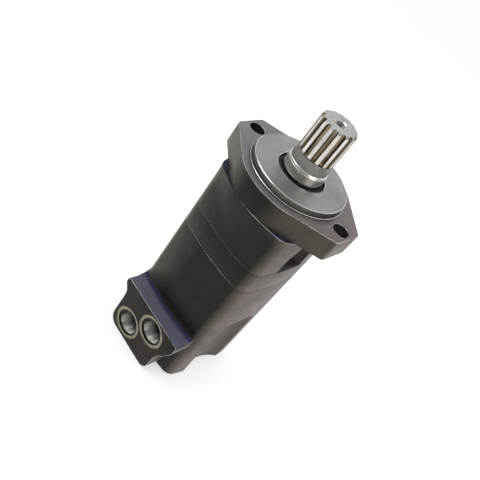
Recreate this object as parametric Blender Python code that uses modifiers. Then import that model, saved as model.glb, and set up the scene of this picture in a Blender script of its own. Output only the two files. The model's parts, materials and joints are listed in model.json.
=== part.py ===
"""Orbital hydraulic motor with a two-bolt flange, a splined shaft and a disc valve.

Frame: +Z runs along the shaft towards its splined end, the flange ears lie along X,
the ports face -Y, and the origin is the centre of the rear end face on the shaft axis.
Run with: blender --background --python part.py
"""
import math

import bmesh
import bpy
from mathutils import Matrix, Vector

MM = 0.001
GAP = 0.3 * MM                      # running gap kept between neighbouring pieces

# ---- driving dimensions ------------------------------------------------------
FACE_Z = 217.0 * MM                 # mounting face of the flange above the rear end
HALF_WIDTH = 44.0 * MM              # half the body across its bulged sides
SIDE_RADIUS = 200.0 * MM            # bulge of the body's sides
CORNER_RADIUS = 10.0 * MM
FLANGE_RADIUS = 49.0 * MM
FLANGE_THICKNESS = 20.0 * MM
EAR_END_X = 62.4 * MM
EAR_HALF_WIDTH = 16.5 * MM
EAR_CORNER_RADIUS = 4.0 * MM
MOUNT_HOLE_X = 53.2 * MM            # half the 106.4 mm bolt spacing
MOUNT_HOLE_RADIUS = 6.75 * MM
EAR_SCALLOP_RADIUS = 18.0 * MM      # room for the mounting bolt behind each ear
PILOT_RADIUS = 41.275 * MM          # 82.55 mm pilot
PILOT_HEIGHT = 6.35 * MM
PILOT_STEP_RADIUS = 42.7 * MM
PILOT_STEP_HEIGHT = 1.5 * MM
SHAFT_HEIGHT = 55.4 * MM            # shaft end above the mounting face
HOUSING_SEAM = -61.5 * MM           # bearing housing to geroler, from the mounting face
VALVE_SEAM = -83.0 * MM             # geroler to valve housing
SCREW_CIRCLE = 44.5 * MM
SCREW_RADIUS = 5.0 * MM
SCREW_HEAD_RADIUS = 8.0 * MM
SCREW_HEAD_HEIGHT = 10.0 * MM
SCREW_SEAT_Z = 10.6 * MM            # seat of the screw heads above the rear end

ROLLER_COUNT = 7
ROLLER_CIRCLE = 25.5 * MM
ROLLER_RADIUS = 5.0 * MM
ECCENTRICITY = 2.5 * MM             # the star's centre orbits at this radius

PORT_FACE_Y = -59.0 * MM
PORTS = ((-15.5 * MM, 17.5 * MM), (8.5 * MM, 39.0 * MM))     # x and z of the two ports
PORT_BORE_RADIUS = 11.1 * MM
PORT_DEPTH = 21.0 * MM
PORT_SPOTFACE_RADIUS = 15.5 * MM
SPOTFACE_DEPTH = 0.6 * MM
BOSS_TOP_Z = 56.0 * MM

ROUND_OUTSIDE = 36                  # facets round a turned surface that shows
ROUND_INSIDE = 28                   # facets round a turned surface inside
ROUND_HOLE = 16                     # facets round a screw hole or drilling

LINK_TEETH = 12
LINK_TILT_POINTS = (-22.0 * MM, -67.5 * MM)         # crown centres of the drive link
VALVE_LINK_POINTS = (-78.6 * MM, -111.0 * MM)       # crown centres of the valve drive

# ---- collections, materials and small helpers --------------------------------
MOTOR = "hydraulic_motor"
CUTTERS = "hydraulic_motor_cutters"


def start_clean():
    """Remove every object and make the two collections."""
    for obj in list(bpy.data.objects):
        bpy.data.objects.remove(obj, do_unlink=True)
    for name in (MOTOR, CUTTERS):
        collection = bpy.data.collections.new(name)
        bpy.context.scene.collection.children.link(collection)


def material(name, colour, roughness, metallic):
    """A Principled BSDF material, made once."""
    found = bpy.data.materials.get(name)
    if found:
        return found
    made = bpy.data.materials.new(name)
    made.use_nodes = True
    shader = made.node_tree.nodes["Principled BSDF"]
    shader.inputs["Base Color"].default_value = (*colour, 1.0)
    shader.inputs["Roughness"].default_value = roughness
    shader.inputs["Metallic"].default_value = metallic
    return made


def painted_iron():
    return material("painted_iron", (0.035, 0.032, 0.027), 0.42, 0.0)


def ground_steel():
    return material("ground_steel", (0.55, 0.53, 0.50), 0.25, 1.0)


def dark_steel():
    return material("dark_steel", (0.16, 0.15, 0.14), 0.40, 1.0)


def spring_steel():
    return material("spring_steel", (0.35, 0.35, 0.36), 0.35, 1.0)


def black_rubber():
    return material("black_rubber", (0.02, 0.02, 0.02), 0.60, 0.0)


def seal_polymer():
    return material("seal_polymer", (0.05, 0.09, 0.05), 0.50, 0.0)


def add_object(name, mesh, surface=None, cutter=False):
    """Link a mesh as a part, or as a cutter when it only shapes another part."""
    obj = bpy.data.objects.new(name, mesh)
    bpy.data.collections[CUTTERS if cutter else MOTOR].objects.link(obj)
    if surface:
        obj.data.materials.append(surface)
    if cutter:
        obj.hide_render = True
        obj.display_type = "WIRE"
    return obj


def smooth(obj, angle=35.0):
    """Shade round faces smooth and keep real edges sharp."""
    obj.data.shade_smooth()
    obj.data.set_sharp_from_angle(angle=math.radians(angle))


def turned(name, profile, steps, surface=None, cutter=False, closed=False):
    """Turn a profile of (radius, z) points round Z with a Screw modifier."""
    mesh = bpy.data.meshes.new(name)
    points = [(radius, 0.0, z) for radius, z in profile]
    edges = [(i, i + 1) for i in range(len(points) - 1)]
    if closed:
        edges.append((len(points) - 1, 0))
    mesh.from_pydata(points, edges, [])
    obj = add_object(name, mesh, surface, cutter)
    screw = obj.modifiers.new("Screw", "SCREW")
    screw.axis = "Z"
    screw.steps = steps
    screw.render_steps = steps
    screw.use_merge_vertices = True
    screw.merge_threshold = 0.00001
    screw.use_smooth_shade = True
    return obj


def ring_profile(inner, outer, low, high):
    """Closed (radius, z) profile of a plain ring, its outer side running down."""
    return [(inner, high), (outer, high), (outer, low), (inner, low)]


def face_profile(*points):
    """(radius, height) points in millimetres, heights taken from the mounting face, in metres."""
    return [(radius * MM, from_face(height * MM)) for radius, height in points]


def plate(name, outlines, low, high, surface=None, cutter=False):
    """Fill flat outlines (the first outside, the rest holes) and extrude them along Z."""
    curve = bpy.data.curves.new(name + "_outline", "CURVE")
    curve.dimensions = "2D"
    curve.fill_mode = "BOTH"
    curve.extrude = (high - low) / 2
    for outline in outlines:
        spline = curve.splines.new("POLY")
        spline.points.add(len(outline) - 1)
        for point, (x, y) in zip(spline.points, outline):
            point.co = (x, y, 0.0, 1.0)
        spline.use_cyclic_u = True
    guide = bpy.data.objects.new(name + "_outline", curve)
    bpy.context.scene.collection.objects.link(guide)
    guide.location.z = (low + high) / 2
    bpy.context.view_layer.update()
    evaluated = guide.evaluated_get(bpy.context.evaluated_depsgraph_get())
    mesh = bpy.data.meshes.new_from_object(evaluated)
    mesh.transform(guide.matrix_world)
    mesh.name = name
    bpy.data.objects.remove(guide, do_unlink=True)
    weld(mesh)
    return add_object(name, mesh, surface, cutter)


def weld(mesh):
    """Join the loose caps of a mesh made from a curve and face it outwards."""
    work = bmesh.new()
    work.from_mesh(mesh)
    bmesh.ops.remove_doubles(work, verts=work.verts, dist=0.000001)
    bmesh.ops.recalc_face_normals(work, faces=work.faces)
    work.to_mesh(mesh)
    work.free()


def cylinder_mesh(name, radius, low, high, segments=32, top_radius=None):
    """A capped cylinder or cone along Z, as mesh data."""
    work = bmesh.new()
    bmesh.ops.create_cone(work, cap_ends=True, segments=segments, radius1=radius,
                          radius2=radius if top_radius is None else top_radius,
                          depth=high - low,
                          matrix=Matrix.Translation((0, 0, (low + high) / 2)))
    mesh = bpy.data.meshes.new(name)
    work.to_mesh(mesh)
    work.free()
    return mesh


def drill(name, radius, low, high, place=(0, 0, 0), along="Z", segments=32, end_radius=None):
    """A cylindrical cutter; along Y it runs from low to high in -Y to +Y."""
    obj = add_object(name, cylinder_mesh(name, radius, low, high, segments, end_radius), cutter=True)
    obj.location = place
    if along == "Y":
        obj.rotation_euler = (-math.pi / 2, 0, 0)
    return obj


def box_cutter(name, low, high):
    """A box between two corners that only cuts."""
    low = Vector(low)
    high = Vector(high)
    work = bmesh.new()
    scale = Matrix.Diagonal((*(high - low), 1.0))
    bmesh.ops.create_cube(work, size=1.0, matrix=Matrix.Translation((low + high) / 2) @ scale)
    mesh = bpy.data.meshes.new(name)
    work.to_mesh(mesh)
    work.free()
    return add_object(name, mesh, cutter=True)


def boolean(obj, other, operation="DIFFERENCE"):
    """Add an exact Boolean modifier."""
    step = obj.modifiers.new(operation.title(), "BOOLEAN")
    step.operation = operation
    step.solver = "EXACT"
    step.object = other
    return obj


def arc(centre, radius, start, end, count):
    """Points of an arc in degrees, both ends included."""
    angles = [math.radians(start + (end - start) * i / (count - 1)) for i in range(count)]
    return [(centre[0] + radius * math.cos(a), centre[1] + radius * math.sin(a)) for a in angles]


def circle(radius, count=48, centre=(0.0, 0.0)):
    """Points of a full circle."""
    return [(centre[0] + radius * math.cos(2 * math.pi * i / count),
             centre[1] + radius * math.sin(2 * math.pi * i / count)) for i in range(count)]


def turn(point, degrees):
    """Turn a flat point round the origin."""
    a = math.radians(degrees)
    return (point[0] * math.cos(a) - point[1] * math.sin(a),
            point[0] * math.sin(a) + point[1] * math.cos(a))


def from_face(offset):
    """World height of a place given from the mounting face."""
    return FACE_Z + offset


# ---- outlines ----------------------------------------------------------------
def body_outline(side_points=5, corner_points=5):
    """Rounded square with slightly bulged sides."""
    bulge = SIDE_RADIUS - HALF_WIDTH
    reach = SIDE_RADIUS - CORNER_RADIUS
    centre = (math.sqrt(2 * reach ** 2 - bulge ** 2) - bulge) / 2
    half_angle = math.degrees(math.atan2(centre, centre + bulge))
    outline = []
    for quarter in range(4):
        side = arc((-bulge, 0.0), SIDE_RADIUS, -half_angle, half_angle, side_points)
        corner = arc((centre, centre), CORNER_RADIUS, half_angle, 90 - half_angle, corner_points)
        outline += [turn(p, 90 * quarter) for p in side + corner[1:-1]]
    return outline


def flange_outline():
    """Round flange with two ears: tangent straight sides, flat ends, rounded corners."""
    centre = (EAR_END_X - EAR_CORNER_RADIUS, EAR_HALF_WIDTH - EAR_CORNER_RADIUS)
    distance = math.hypot(*centre)
    lean = math.degrees(math.acos((FLANGE_RADIUS - EAR_CORNER_RADIUS) / distance))
    tangent = math.degrees(math.atan2(centre[1], centre[0])) + lean
    ear = arc(centre, EAR_CORNER_RADIUS, 0.0, tangent, 4)
    waist = arc((0, 0), FLANGE_RADIUS, tangent, 180 - tangent, 13)
    half = ear + waist + [(-x, y) for x, y in reversed(ear)]
    return half + [(-x, -y) for x, y in half]


def spline_outline(teeth, inner, outer, half_inner, half_outer):
    """Straight-sided spline: half angles are each tooth's half width at both radii."""
    outline = []
    for tooth in range(teeth):
        middle = 360.0 * tooth / teeth
        for radius, offset in ((inner, -half_inner), (outer, -half_outer),
                               (outer, half_outer), (inner, half_inner)):
            outline.append(turn((radius, 0.0), middle + offset))
    return outline


def link_teeth():
    """Teeth of the drive links where they mate with the shaft and the star."""
    return spline_outline(LINK_TEETH, 10.4 * MM, 12.4 * MM, 8.5, 5.0)


def link_socket():
    """Internal spline that takes the drive links' teeth with room to rock."""
    return spline_outline(LINK_TEETH, 11.0 * MM, 13.1 * MM, 9.9, 7.3)


def valve_teeth():
    """Smaller teeth at the valve end of the valve drive."""
    return spline_outline(LINK_TEETH, 6.3 * MM, 7.9 * MM, 8.5, 5.0)


def valve_socket():
    return spline_outline(LINK_TEETH, 6.9 * MM, 8.6 * MM, 11.0, 8.6)


def star_outline(points_per_lobe=14):
    """Six-lobed rotor: the rollers' path seen from the star, moved in by their radius."""
    lobes = ROLLER_COUNT - 1
    offset = ROLLER_RADIUS + GAP
    outline = []
    for i in range(lobes * points_per_lobe):
        t = 2 * math.pi * i / (lobes * points_per_lobe)
        path = Vector((ROLLER_CIRCLE * math.cos(t) - ECCENTRICITY * math.cos(ROLLER_COUNT * t),
                       ROLLER_CIRCLE * math.sin(t) - ECCENTRICITY * math.sin(ROLLER_COUNT * t)))
        swing = ECCENTRICITY * ROLLER_COUNT
        normal = Vector((ROLLER_CIRCLE * math.cos(t) - swing * math.cos(ROLLER_COUNT * t),
                         ROLLER_CIRCLE * math.sin(t) - swing * math.sin(ROLLER_COUNT * t)))
        outline.append(tuple(path - offset * normal.normalized()))
    return outline


def geroler_bore():
    """Bore of the geroler ring with seven roller pockets."""
    pocket = ROLLER_RADIUS + GAP
    bore = ROLLER_CIRCLE + 2 * ECCENTRICITY - ROLLER_RADIUS + 0.5 * MM
    cosine = (bore ** 2 - ROLLER_CIRCLE ** 2 - pocket ** 2) / (2 * ROLLER_CIRCLE * pocket)
    wrap = math.degrees(math.acos(cosine))
    pocket_arc = arc((ROLLER_CIRCLE, 0.0), pocket, -wrap, wrap, 9)
    edge = math.degrees(math.atan2(pocket_arc[-1][1], pocket_arc[-1][0]))
    pitch = 360.0 / ROLLER_COUNT
    land = arc((0, 0), bore, edge, pitch - edge, 6)[1:-1]
    outline = []
    for number in range(ROLLER_COUNT):
        outline += [turn(p, pitch * number) for p in pocket_arc + land]
    return outline


def screw_places():
    """Centres of the four cap screws."""
    return [turn((SCREW_CIRCLE, 0.0), 45 + 90 * i) for i in range(4)]


# ---- front: bearing housing, shaft and seals ---------------------------------
SEAL_BORE = 25.3 * MM
BEARING_BORE = 31.3 * MM
BEARING_SHOULDER = -14.0 * MM
DUST_BORE = 20.8 * MM
DUST_FLOOR = -0.5 * MM              # floor of the dust seal's seat, below the mounting face
SHAFT_WINDOW = 18.2 * MM            # web between the dust seal and the shaft seal
SHAFT_JOURNAL = 17.5 * MM
SNAP_GROOVE = (-12.6 * MM, -10.4 * MM)
SNAP_GROOVE_RADIUS = 26.4 * MM
WASHER_SEAT = -1.5 * MM
THREAD_DEPTH = 24.0 * MM            # tapped depth of the screw holes in the bearing housing
CLEAR = 2.0 * MM                    # how far a cutter runs past the surface it cuts
FRONT_SEAL = (32.2 * MM, 34.4 * MM)                 # radii of the two section seals' grooves
REAR_SEAL = (36.8 * MM, 39.0 * MM)
SEAL_GROOVE_DEPTH = 1.9 * MM


def housing_bore():
    """Everything turned inside the bearing housing, from the rear to the pilot face."""
    rear = from_face(HOUSING_SEAM) - CLEAR
    top = from_face(PILOT_HEIGHT) + CLEAR
    dust_floor = from_face(DUST_FLOOR)
    washer_seat = from_face(WASHER_SEAT)
    shoulder = from_face(BEARING_SHOULDER)
    lower, upper = (from_face(z) for z in SNAP_GROOVE)
    profile = [(0, top), (DUST_BORE, top), (DUST_BORE, dust_floor), (SHAFT_WINDOW, dust_floor),
               (SHAFT_WINDOW, washer_seat), (SEAL_BORE, washer_seat), (SEAL_BORE, upper),
               (SNAP_GROOVE_RADIUS, upper), (SNAP_GROOVE_RADIUS, lower), (SEAL_BORE, lower),
               (SEAL_BORE, shoulder), (BEARING_BORE, shoulder), (BEARING_BORE, rear), (0, rear)]
    return turned("housing_bore_cutter", profile, ROUND_INSIDE, cutter=True)


def seal_groove(name, inner, outer, low, high):
    """Face groove for a section seal, as a cutter."""
    return turned(name, ring_profile(inner, outer, low, high), ROUND_INSIDE, cutter=True,
                  closed=True)


def bearing_housing():
    """One casting: eared flange, pilot and the square barrel that takes the bearings."""
    rear = from_face(HOUSING_SEAM) + GAP / 2
    back_of_flange = from_face(-FLANGE_THICKNESS)
    barrel_top = back_of_flange + 0.5 * MM
    pilot_top = from_face(PILOT_HEIGHT)
    pilot_step = from_face(PILOT_STEP_HEIGHT)
    pilot_chamfer = 0.6 * MM
    housing = plate("bearing_housing", [flange_outline()], back_of_flange, FACE_Z, painted_iron())
    barrel = plate("barrel_form", [body_outline()], rear, barrel_top, cutter=True)
    waist_foot = rear + 4 * MM
    waist = turned("waist_form", [(0, back_of_flange + 3 * MM), (FLANGE_RADIUS, back_of_flange + 3 * MM),
                                  (FLANGE_RADIUS - 0.2 * MM, back_of_flange),
                                  (HALF_WIDTH - 1.5 * MM, waist_foot), (0, waist_foot)],
                   ROUND_OUTSIDE, cutter=True)
    pilot = turned("pilot_form", [(0, pilot_top), (PILOT_RADIUS - pilot_chamfer, pilot_top),
                                  (PILOT_RADIUS, pilot_top - pilot_chamfer), (PILOT_RADIUS, pilot_step),
                                  (PILOT_STEP_RADIUS, pilot_step), (PILOT_STEP_RADIUS, FACE_Z - CLEAR),
                                  (0, FACE_Z - CLEAR)],
                   ROUND_OUTSIDE, cutter=True)
    for form in (barrel, waist, pilot):
        boolean(housing, form, "UNION")
    for side in (-1, 1):
        scallop = drill("scallop_cutter", EAR_SCALLOP_RADIUS, rear - CLEAR, back_of_flange,
                        (side * MOUNT_HOLE_X, 0, 0), segments=32)
        boolean(housing, scallop)
        hole = drill("mount_hole_cutter", MOUNT_HOLE_RADIUS, back_of_flange - CLEAR, FACE_Z + CLEAR,
                     (side * MOUNT_HOLE_X, 0, 0), segments=24)
        boolean(housing, hole)
    for x, y in screw_places():
        boolean(housing, drill("screw_thread_cutter", SCREW_RADIUS + GAP, rear - CLEAR,
                               rear + THREAD_DEPTH, (x, y, 0), segments=ROUND_HOLE))
    boolean(housing, housing_bore())
    boolean(housing, seal_groove("front_seal_groove", *FRONT_SEAL, rear - CLEAR,
                                 rear + SEAL_GROOVE_DEPTH))
    return housing


SPLINE_TEETH = 14
SPLINE_TIP = 15.45 * MM
SPLINE_ROOT = 13.3 * MM
SPLINE_LOW = 26.0 * MM              # lower end of the spline above the mounting face
SPLINE_CHAMFER = 1.4 * MM
CENTRE_HOLE_RADIUS = 4.1 * MM
CENTRE_HOLE_DEPTH = 20.0 * MM
SHAFT_REAR = -56.8 * MM
THRUST_COLLAR = (22.5 * MM, -33.3 * MM, -37.0 * MM)  # radius, upper and lower face


def output_shaft():
    """Splined shaft: 14-tooth output end, seal journal, bearing shoulder, link socket."""
    rear = from_face(SHAFT_REAR)
    top = from_face(SHAFT_HEIGHT)
    core = SPLINE_ROOT - GAP
    collar, collar_high, collar_low = THRUST_COLLAR
    neck = face_profile((15.2, 25.0), (16.1, 16.2), (16.6, 16.0), (16.6, 15.2), (17.5, 14.3))
    profile = [(0, top - 0.5 * MM), (core, top - 0.5 * MM), (core, from_face(SPLINE_LOW) + 1 * MM)]
    profile += neck
    profile += [(SHAFT_JOURNAL, from_face(collar_high)), (collar, from_face(collar_high)),
                (collar, from_face(collar_low)), (SHAFT_JOURNAL, from_face(collar_low)),
                (SHAFT_JOURNAL, rear + 1 * MM), (SHAFT_JOURNAL - 1 * MM, rear), (0, rear)]
    shaft = turned("output_shaft", profile, ROUND_OUTSIDE, ground_steel())
    boolean(shaft, shaft_spline(top), "UNION")
    mouth = CENTRE_HOLE_RADIUS + 2.1 * MM
    hole = turned("shaft_thread_cutter", [(0, top + 1 * MM), (mouth, top + 1 * MM),
                                          (CENTRE_HOLE_RADIUS, top - 1.1 * MM),
                                          (CENTRE_HOLE_RADIUS, top - CENTRE_HOLE_DEPTH),
                                          (0, top - CENTRE_HOLE_DEPTH - CLEAR)], 20, cutter=True)
    boolean(shaft, hole)
    boolean(shaft, plate("shaft_socket_cutter", [link_socket()], rear - 1 * MM, from_face(-12 * MM),
                         cutter=True))
    boolean(shaft, drill("shaft_relief_cutter", 13.6 * MM, from_face(-12.5 * MM), from_face(-9 * MM),
                         segments=24, end_radius=9.0 * MM))


def shaft_spline(top):
    """Teeth of the output end, chamfered at both ends, as a form to join to the shaft."""
    low = from_face(SPLINE_LOW)
    teeth = plate("shaft_spline_form", [spline_outline(SPLINE_TEETH, SPLINE_ROOT, SPLINE_TIP, 8.3, 5.0)],
                  low, top, cutter=True)
    outside = SPLINE_TIP + 0.05 * MM
    inside = outside - SPLINE_CHAMFER - 1 * MM
    envelope = turned("shaft_spline_envelope",
                      [(0, top + 1 * MM), (inside, top + 1 * MM), (outside, top - SPLINE_CHAMFER),
                       (outside, low + 1 * MM), (outside - 1 * MM, low - 0.4 * MM), (0, low - 0.4 * MM)],
                      28, cutter=True)
    return boolean(teeth, envelope, "INTERSECT")


def shaft_seals():
    """Dust seal, backup washer, lip seal and snap ring, from the pilot face inwards."""
    dust = face_profile((17.9, 4.9), (18.6, 4.2), (20.5, 4.2), (20.5, -0.2), (18.6, -0.2), (18.6, 2.6))
    turned("dust_seal", dust, ROUND_OUTSIDE, black_rubber(), closed=True)
    washer = face_profile((18.6, -1.8), (25.0, -1.8), (25.0, -3.2), (18.6, -3.2))
    turned("seal_backup_washer", washer, ROUND_INSIDE, dark_steel(), closed=True)
    lip = face_profile((19.5, -3.5), (25.0, -3.5), (25.0, -10.1), (22.6, -10.1), (22.6, -5.6),
                       (19.6, -5.6), (18.8, -9.4), (17.8, -8.6), (18.2, -5.0))
    turned("shaft_seal", lip, ROUND_INSIDE, seal_polymer(), closed=True)
    low, high = (from_face(z) for z in SNAP_GROOVE)
    outside = arc((0, 0), SNAP_GROOVE_RADIUS - GAP, 25, 335, ROUND_INSIDE)
    inside = arc((0, 0), 22.7 * MM, 335, 25, ROUND_INSIDE)
    plate("seal_retaining_ring", [outside + inside], low + GAP, high - GAP, spring_steel())


# ---- tapered roller bearings -------------------------------------------------
BEARING_ROLLERS = 9
RACE_START = (20.4, 0.20)           # cone race radius at depth 1.7, and its slope, in millimetres
ROLLER_START = (4.4, 0.06)          # roller diameter at depth 1.7, and its slope
ROLLER_SPAN = (2.6, 15.4)           # depths of a roller's two ends
RACE_PLAY = 0.3                     # clearance at each race


def bearing(prefix, front, facing):
    """A tapered roller bearing; facing +1 has its small end towards the shaft end.

    front is the height of its small end. Depths are millimetres measured from there.
    """
    def tapered(start, depth):
        return start[0] + start[1] * (depth - 1.7)

    def race(depth):
        return tapered(RACE_START, depth)

    def cup_race(depth):
        return race(depth) + tapered(ROLLER_START, depth) + 2 * RACE_PLAY

    def middle(depth):
        return race(depth) + RACE_PLAY + tapered(ROLLER_START, depth) / 2

    def ring(name, profile, surface, steps=ROUND_INSIDE):
        points = [(radius * MM, front - facing * depth * MM) for radius, depth in profile]
        return turned(name, points if facing > 0 else points[::-1], steps, surface, closed=True)

    bore = (SHAFT_JOURNAL + GAP) / MM
    ring(prefix + "_cone", [(bore, 0.7), (20.0, 0.7), (race(1.7), 1.7), (race(16.0), 16.0),
                            (25.0, 16.3), (25.0, 18.7), (bore, 18.7)], ground_steel())
    ring(prefix + "_cup", [(cup_race(1.0), 0.3), (31.0, 0.3), (31.0, 18.0), (cup_race(18.0), 18.0)],
         ground_steel())
    first, last = ROLLER_SPAN
    cage = [(middle(first) - 0.6, first - 1.0), (middle(first) + 0.5, first - 1.0),
            (middle(last) + 0.7, last + 0.35), (middle(last) - 0.5, last + 0.35)]
    rollers = ring(prefix + "_rollers", cage, dark_steel(), 3 * BEARING_ROLLERS)
    ends = [(middle(depth) * MM, front - facing * depth * MM, tapered(ROLLER_START, depth) / 2 * MM)
            for depth in ROLLER_SPAN]
    boolean(rollers, roller_crowd(prefix, *ends), "UNION")


def roller_crowd(prefix, first, last):
    """The tapered rollers of one bearing as one form; an end is (circle radius, z, roller radius)."""
    work = bmesh.new()
    for number in range(BEARING_ROLLERS):
        a = 2 * math.pi * number / BEARING_ROLLERS
        start, end = (Vector((away * math.cos(a), away * math.sin(a), z))
                      for away, z, _ in (first, last))
        along = (end - start).to_track_quat("Z", "Y").to_matrix().to_4x4()
        place = Matrix.Translation((start + end) / 2) @ along
        bmesh.ops.create_cone(work, cap_ends=True, segments=8, radius1=first[2], radius2=last[2],
                              depth=(end - start).length, matrix=place)
    mesh = bpy.data.meshes.new(prefix + "_roller_form")
    work.to_mesh(mesh)
    work.free()
    return add_object(mesh.name, mesh, cutter=True)


REAR_BEARING_END = -56.0 * MM
RETAINER_LOW = -57.5 * MM


def bearing_group():
    """Both bearings, the retainer behind them and the wear plate."""
    bearing("front_bearing", from_face(BEARING_SHOULDER), 1)
    bearing("rear_bearing", from_face(REAR_BEARING_END), -1)
    rim = BEARING_BORE - GAP
    retainer = ring_profile(26.5 * MM, rim, from_face(RETAINER_LOW), from_face(REAR_BEARING_END))
    turned("bearing_retainer", retainer, ROUND_INSIDE, dark_steel(), closed=True)
    wear = ring_profile(12.6 * MM, rim, from_face(HOUSING_SEAM) + GAP / 2,
                        from_face(RETAINER_LOW) - GAP)
    turned("wear_plate", wear, ROUND_INSIDE, ground_steel(), closed=True)


# ---- drive links -------------------------------------------------------------
def tilt(obj, fixed_z, orbit_z):
    """Lean a link so that it meets the main axis at fixed_z and the star's axis at orbit_z.

    Links are modelled along Z with the origin at the point on the main axis.
    """
    obj.rotation_euler.y = math.atan(ECCENTRICITY / (orbit_z - fixed_z))
    obj.location.z = from_face(fixed_z)


def drive_link():
    """Main drive link from the star up into the shaft."""
    high, low = LINK_TILT_POINTS
    reach = math.hypot(high - low, ECCENTRICITY)
    neck = [(0, 5.9 * MM), (8.6 * MM, 5.9 * MM), (10.1 * MM, 4.4 * MM), (10.1 * MM, -5 * MM),
            (8.4 * MM, -8.5 * MM), (8.4 * MM, -reach + 8 * MM), (10.1 * MM, -reach + 4.4 * MM),
            (10.1 * MM, -reach - 3.4 * MM), (8.0 * MM, -reach - 4.7 * MM), (0, -reach - 4.7 * MM)]
    link = turned("drive_link", neck, 24, dark_steel())
    for middle, half in ((0.0, 4.5 * MM), (-reach, 4.0 * MM)):
        boolean(link, plate("link_teeth_form", [link_teeth()], middle - half, middle + half,
                            cutter=True), "UNION")
    tilt_with_forms(link, high, low)


def tilt_with_forms(link, fixed_z, orbit_z):
    """Tilt a link together with the forms its Boolean modifiers use."""
    tilt(link, fixed_z, orbit_z)
    for step in link.modifiers:
        if step.type == "BOOLEAN":
            tilt(step.object, fixed_z, orbit_z)


def valve_drive_link():
    """Short link that turns the disc valve from the star."""
    orbit, fixed = VALVE_LINK_POINTS
    reach = math.hypot(orbit - fixed, ECCENTRICITY)
    neck = [(0, reach + 3.2 * MM), (8.0 * MM, reach + 3.2 * MM), (10.1 * MM, reach + 1.6 * MM),
            (10.1 * MM, reach - 2.2 * MM), (5.2 * MM, reach - 5.2 * MM), (5.2 * MM, 5.0 * MM),
            (6.1 * MM, 3.4 * MM), (6.1 * MM, -3.0 * MM), (4.6 * MM, -4.0 * MM), (0, -4.0 * MM)]
    link = turned("valve_drive_link", neck, 24, dark_steel())
    for outline, middle, half in ((link_teeth(), reach, 2.2 * MM), (valve_teeth(), 0.0, 2.8 * MM)):
        boolean(link, plate("valve_link_teeth_form", [outline], middle - half, middle + half,
                            cutter=True), "UNION")
    tilt_with_forms(link, fixed, orbit)


# ---- geroler set -------------------------------------------------------------
STAR_LOW = -82.7 * MM
STAR_HIGH = -61.8 * MM


def geroler_set():
    """Ring, star, seven rollers and the loose spacer that sits in the star's bore."""
    low = from_face(VALVE_SEAM) + GAP / 2
    high = from_face(HOUSING_SEAM) - GAP / 2
    holes = [circle(SCREW_RADIUS + GAP, ROUND_HOLE, place) for place in screw_places()]
    ring = plate("geroler_ring", [body_outline(), geroler_bore()] + holes, low, high, painted_iron())
    smooth(ring)
    star = plate("rotor_star", [star_outline(), link_socket()], from_face(STAR_LOW),
                 from_face(STAR_HIGH), ground_steel())
    star.location.x = ECCENTRICITY
    smooth(star)
    mesh = cylinder_mesh("geroler_roller", ROLLER_RADIUS, from_face(STAR_LOW), from_face(STAR_HIGH), 20)
    mesh.materials.append(ground_steel())
    for number in range(ROLLER_COUNT):
        roller = add_object(f"geroler_roller_{number + 1}", mesh)
        x, y = turn((ROLLER_CIRCLE, 0.0), 360.0 * number / ROLLER_COUNT)
        roller.location = (x, y, 0)
        smooth(roller)
    spacer = face_profile((0, -73.1), (9.6, -73.1), (10.2, -73.5), (10.2, -74.1), (9.6, -74.5), (0, -74.5))
    turned("drive_spacer", spacer, 20, dark_steel()).location.x = ECCENTRICITY


# ---- rear: valve plate, disc valve, balance ring, valve housing --------------
PLATE_BORE = 36.0 * MM
CAVITY_BORE = 33.0 * MM
PLATE_BACK = -95.1 * MM
CAVITY_FLOOR = -130.0 * MM
SLEEVE_BORE = 25.4 * MM
SLEEVE_FLOOR = -137.0 * MM
DRAIN_Z = -93.0 * MM
WINDOW_CIRCLE = 22.3 * MM


def valve_plate():
    """Stationary plate with one window for each geroler pocket and the drain drilling."""
    windows = [circle(2.4 * MM, 10, turn((WINDOW_CIRCLE, 0.0), 360.0 * (i + 0.5) / ROLLER_COUNT))
               for i in range(ROLLER_COUNT)]
    piece = plate("valve_plate", [circle(PLATE_BORE - GAP, 36), circle(9.6 * MM, 20)] + windows,
                  from_face(PLATE_BACK) + GAP, from_face(VALVE_SEAM) - GAP / 2, ground_steel())
    drain = drill("plate_drain_cutter", 1.2 * MM, 8 * MM, 40 * MM, (0, 0, from_face(DRAIN_Z)), "Y", 8)
    return boolean(piece, drain)


def disc_valve():
    """Rotating valve: six ports open outwards and six inwards, in turn."""
    front = from_face(PLATE_BACK)
    step = from_face(-104.0 * MM)
    back = from_face(-118.0 * MM)
    profile = [(0, front), (29.5 * MM, front), (29.5 * MM, step), (26.0 * MM, step),
               (26.0 * MM, back), (0, back)]
    valve = turned("disc_valve", profile, 30, ground_steel())
    boolean(valve, plate("valve_socket_cutter", [valve_socket()], back - 1 * MM, front + 1 * MM,
                         cutter=True))
    for number in range(6):
        x, y = turn((20.0 * MM, 0.0), 60 * number)
        boolean(valve, drill("inner_port_cutter", 2.5 * MM, back - 1 * MM, front + 1 * MM, (x, y, 0),
                             segments=8))
        x, y = turn((28.3 * MM, 0.0), 60 * number + 30)
        boolean(valve, drill("outer_port_cutter", 4.2 * MM, step + 1.5 * MM, front + 1 * MM, (x, y, 0),
                             segments=14))


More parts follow.
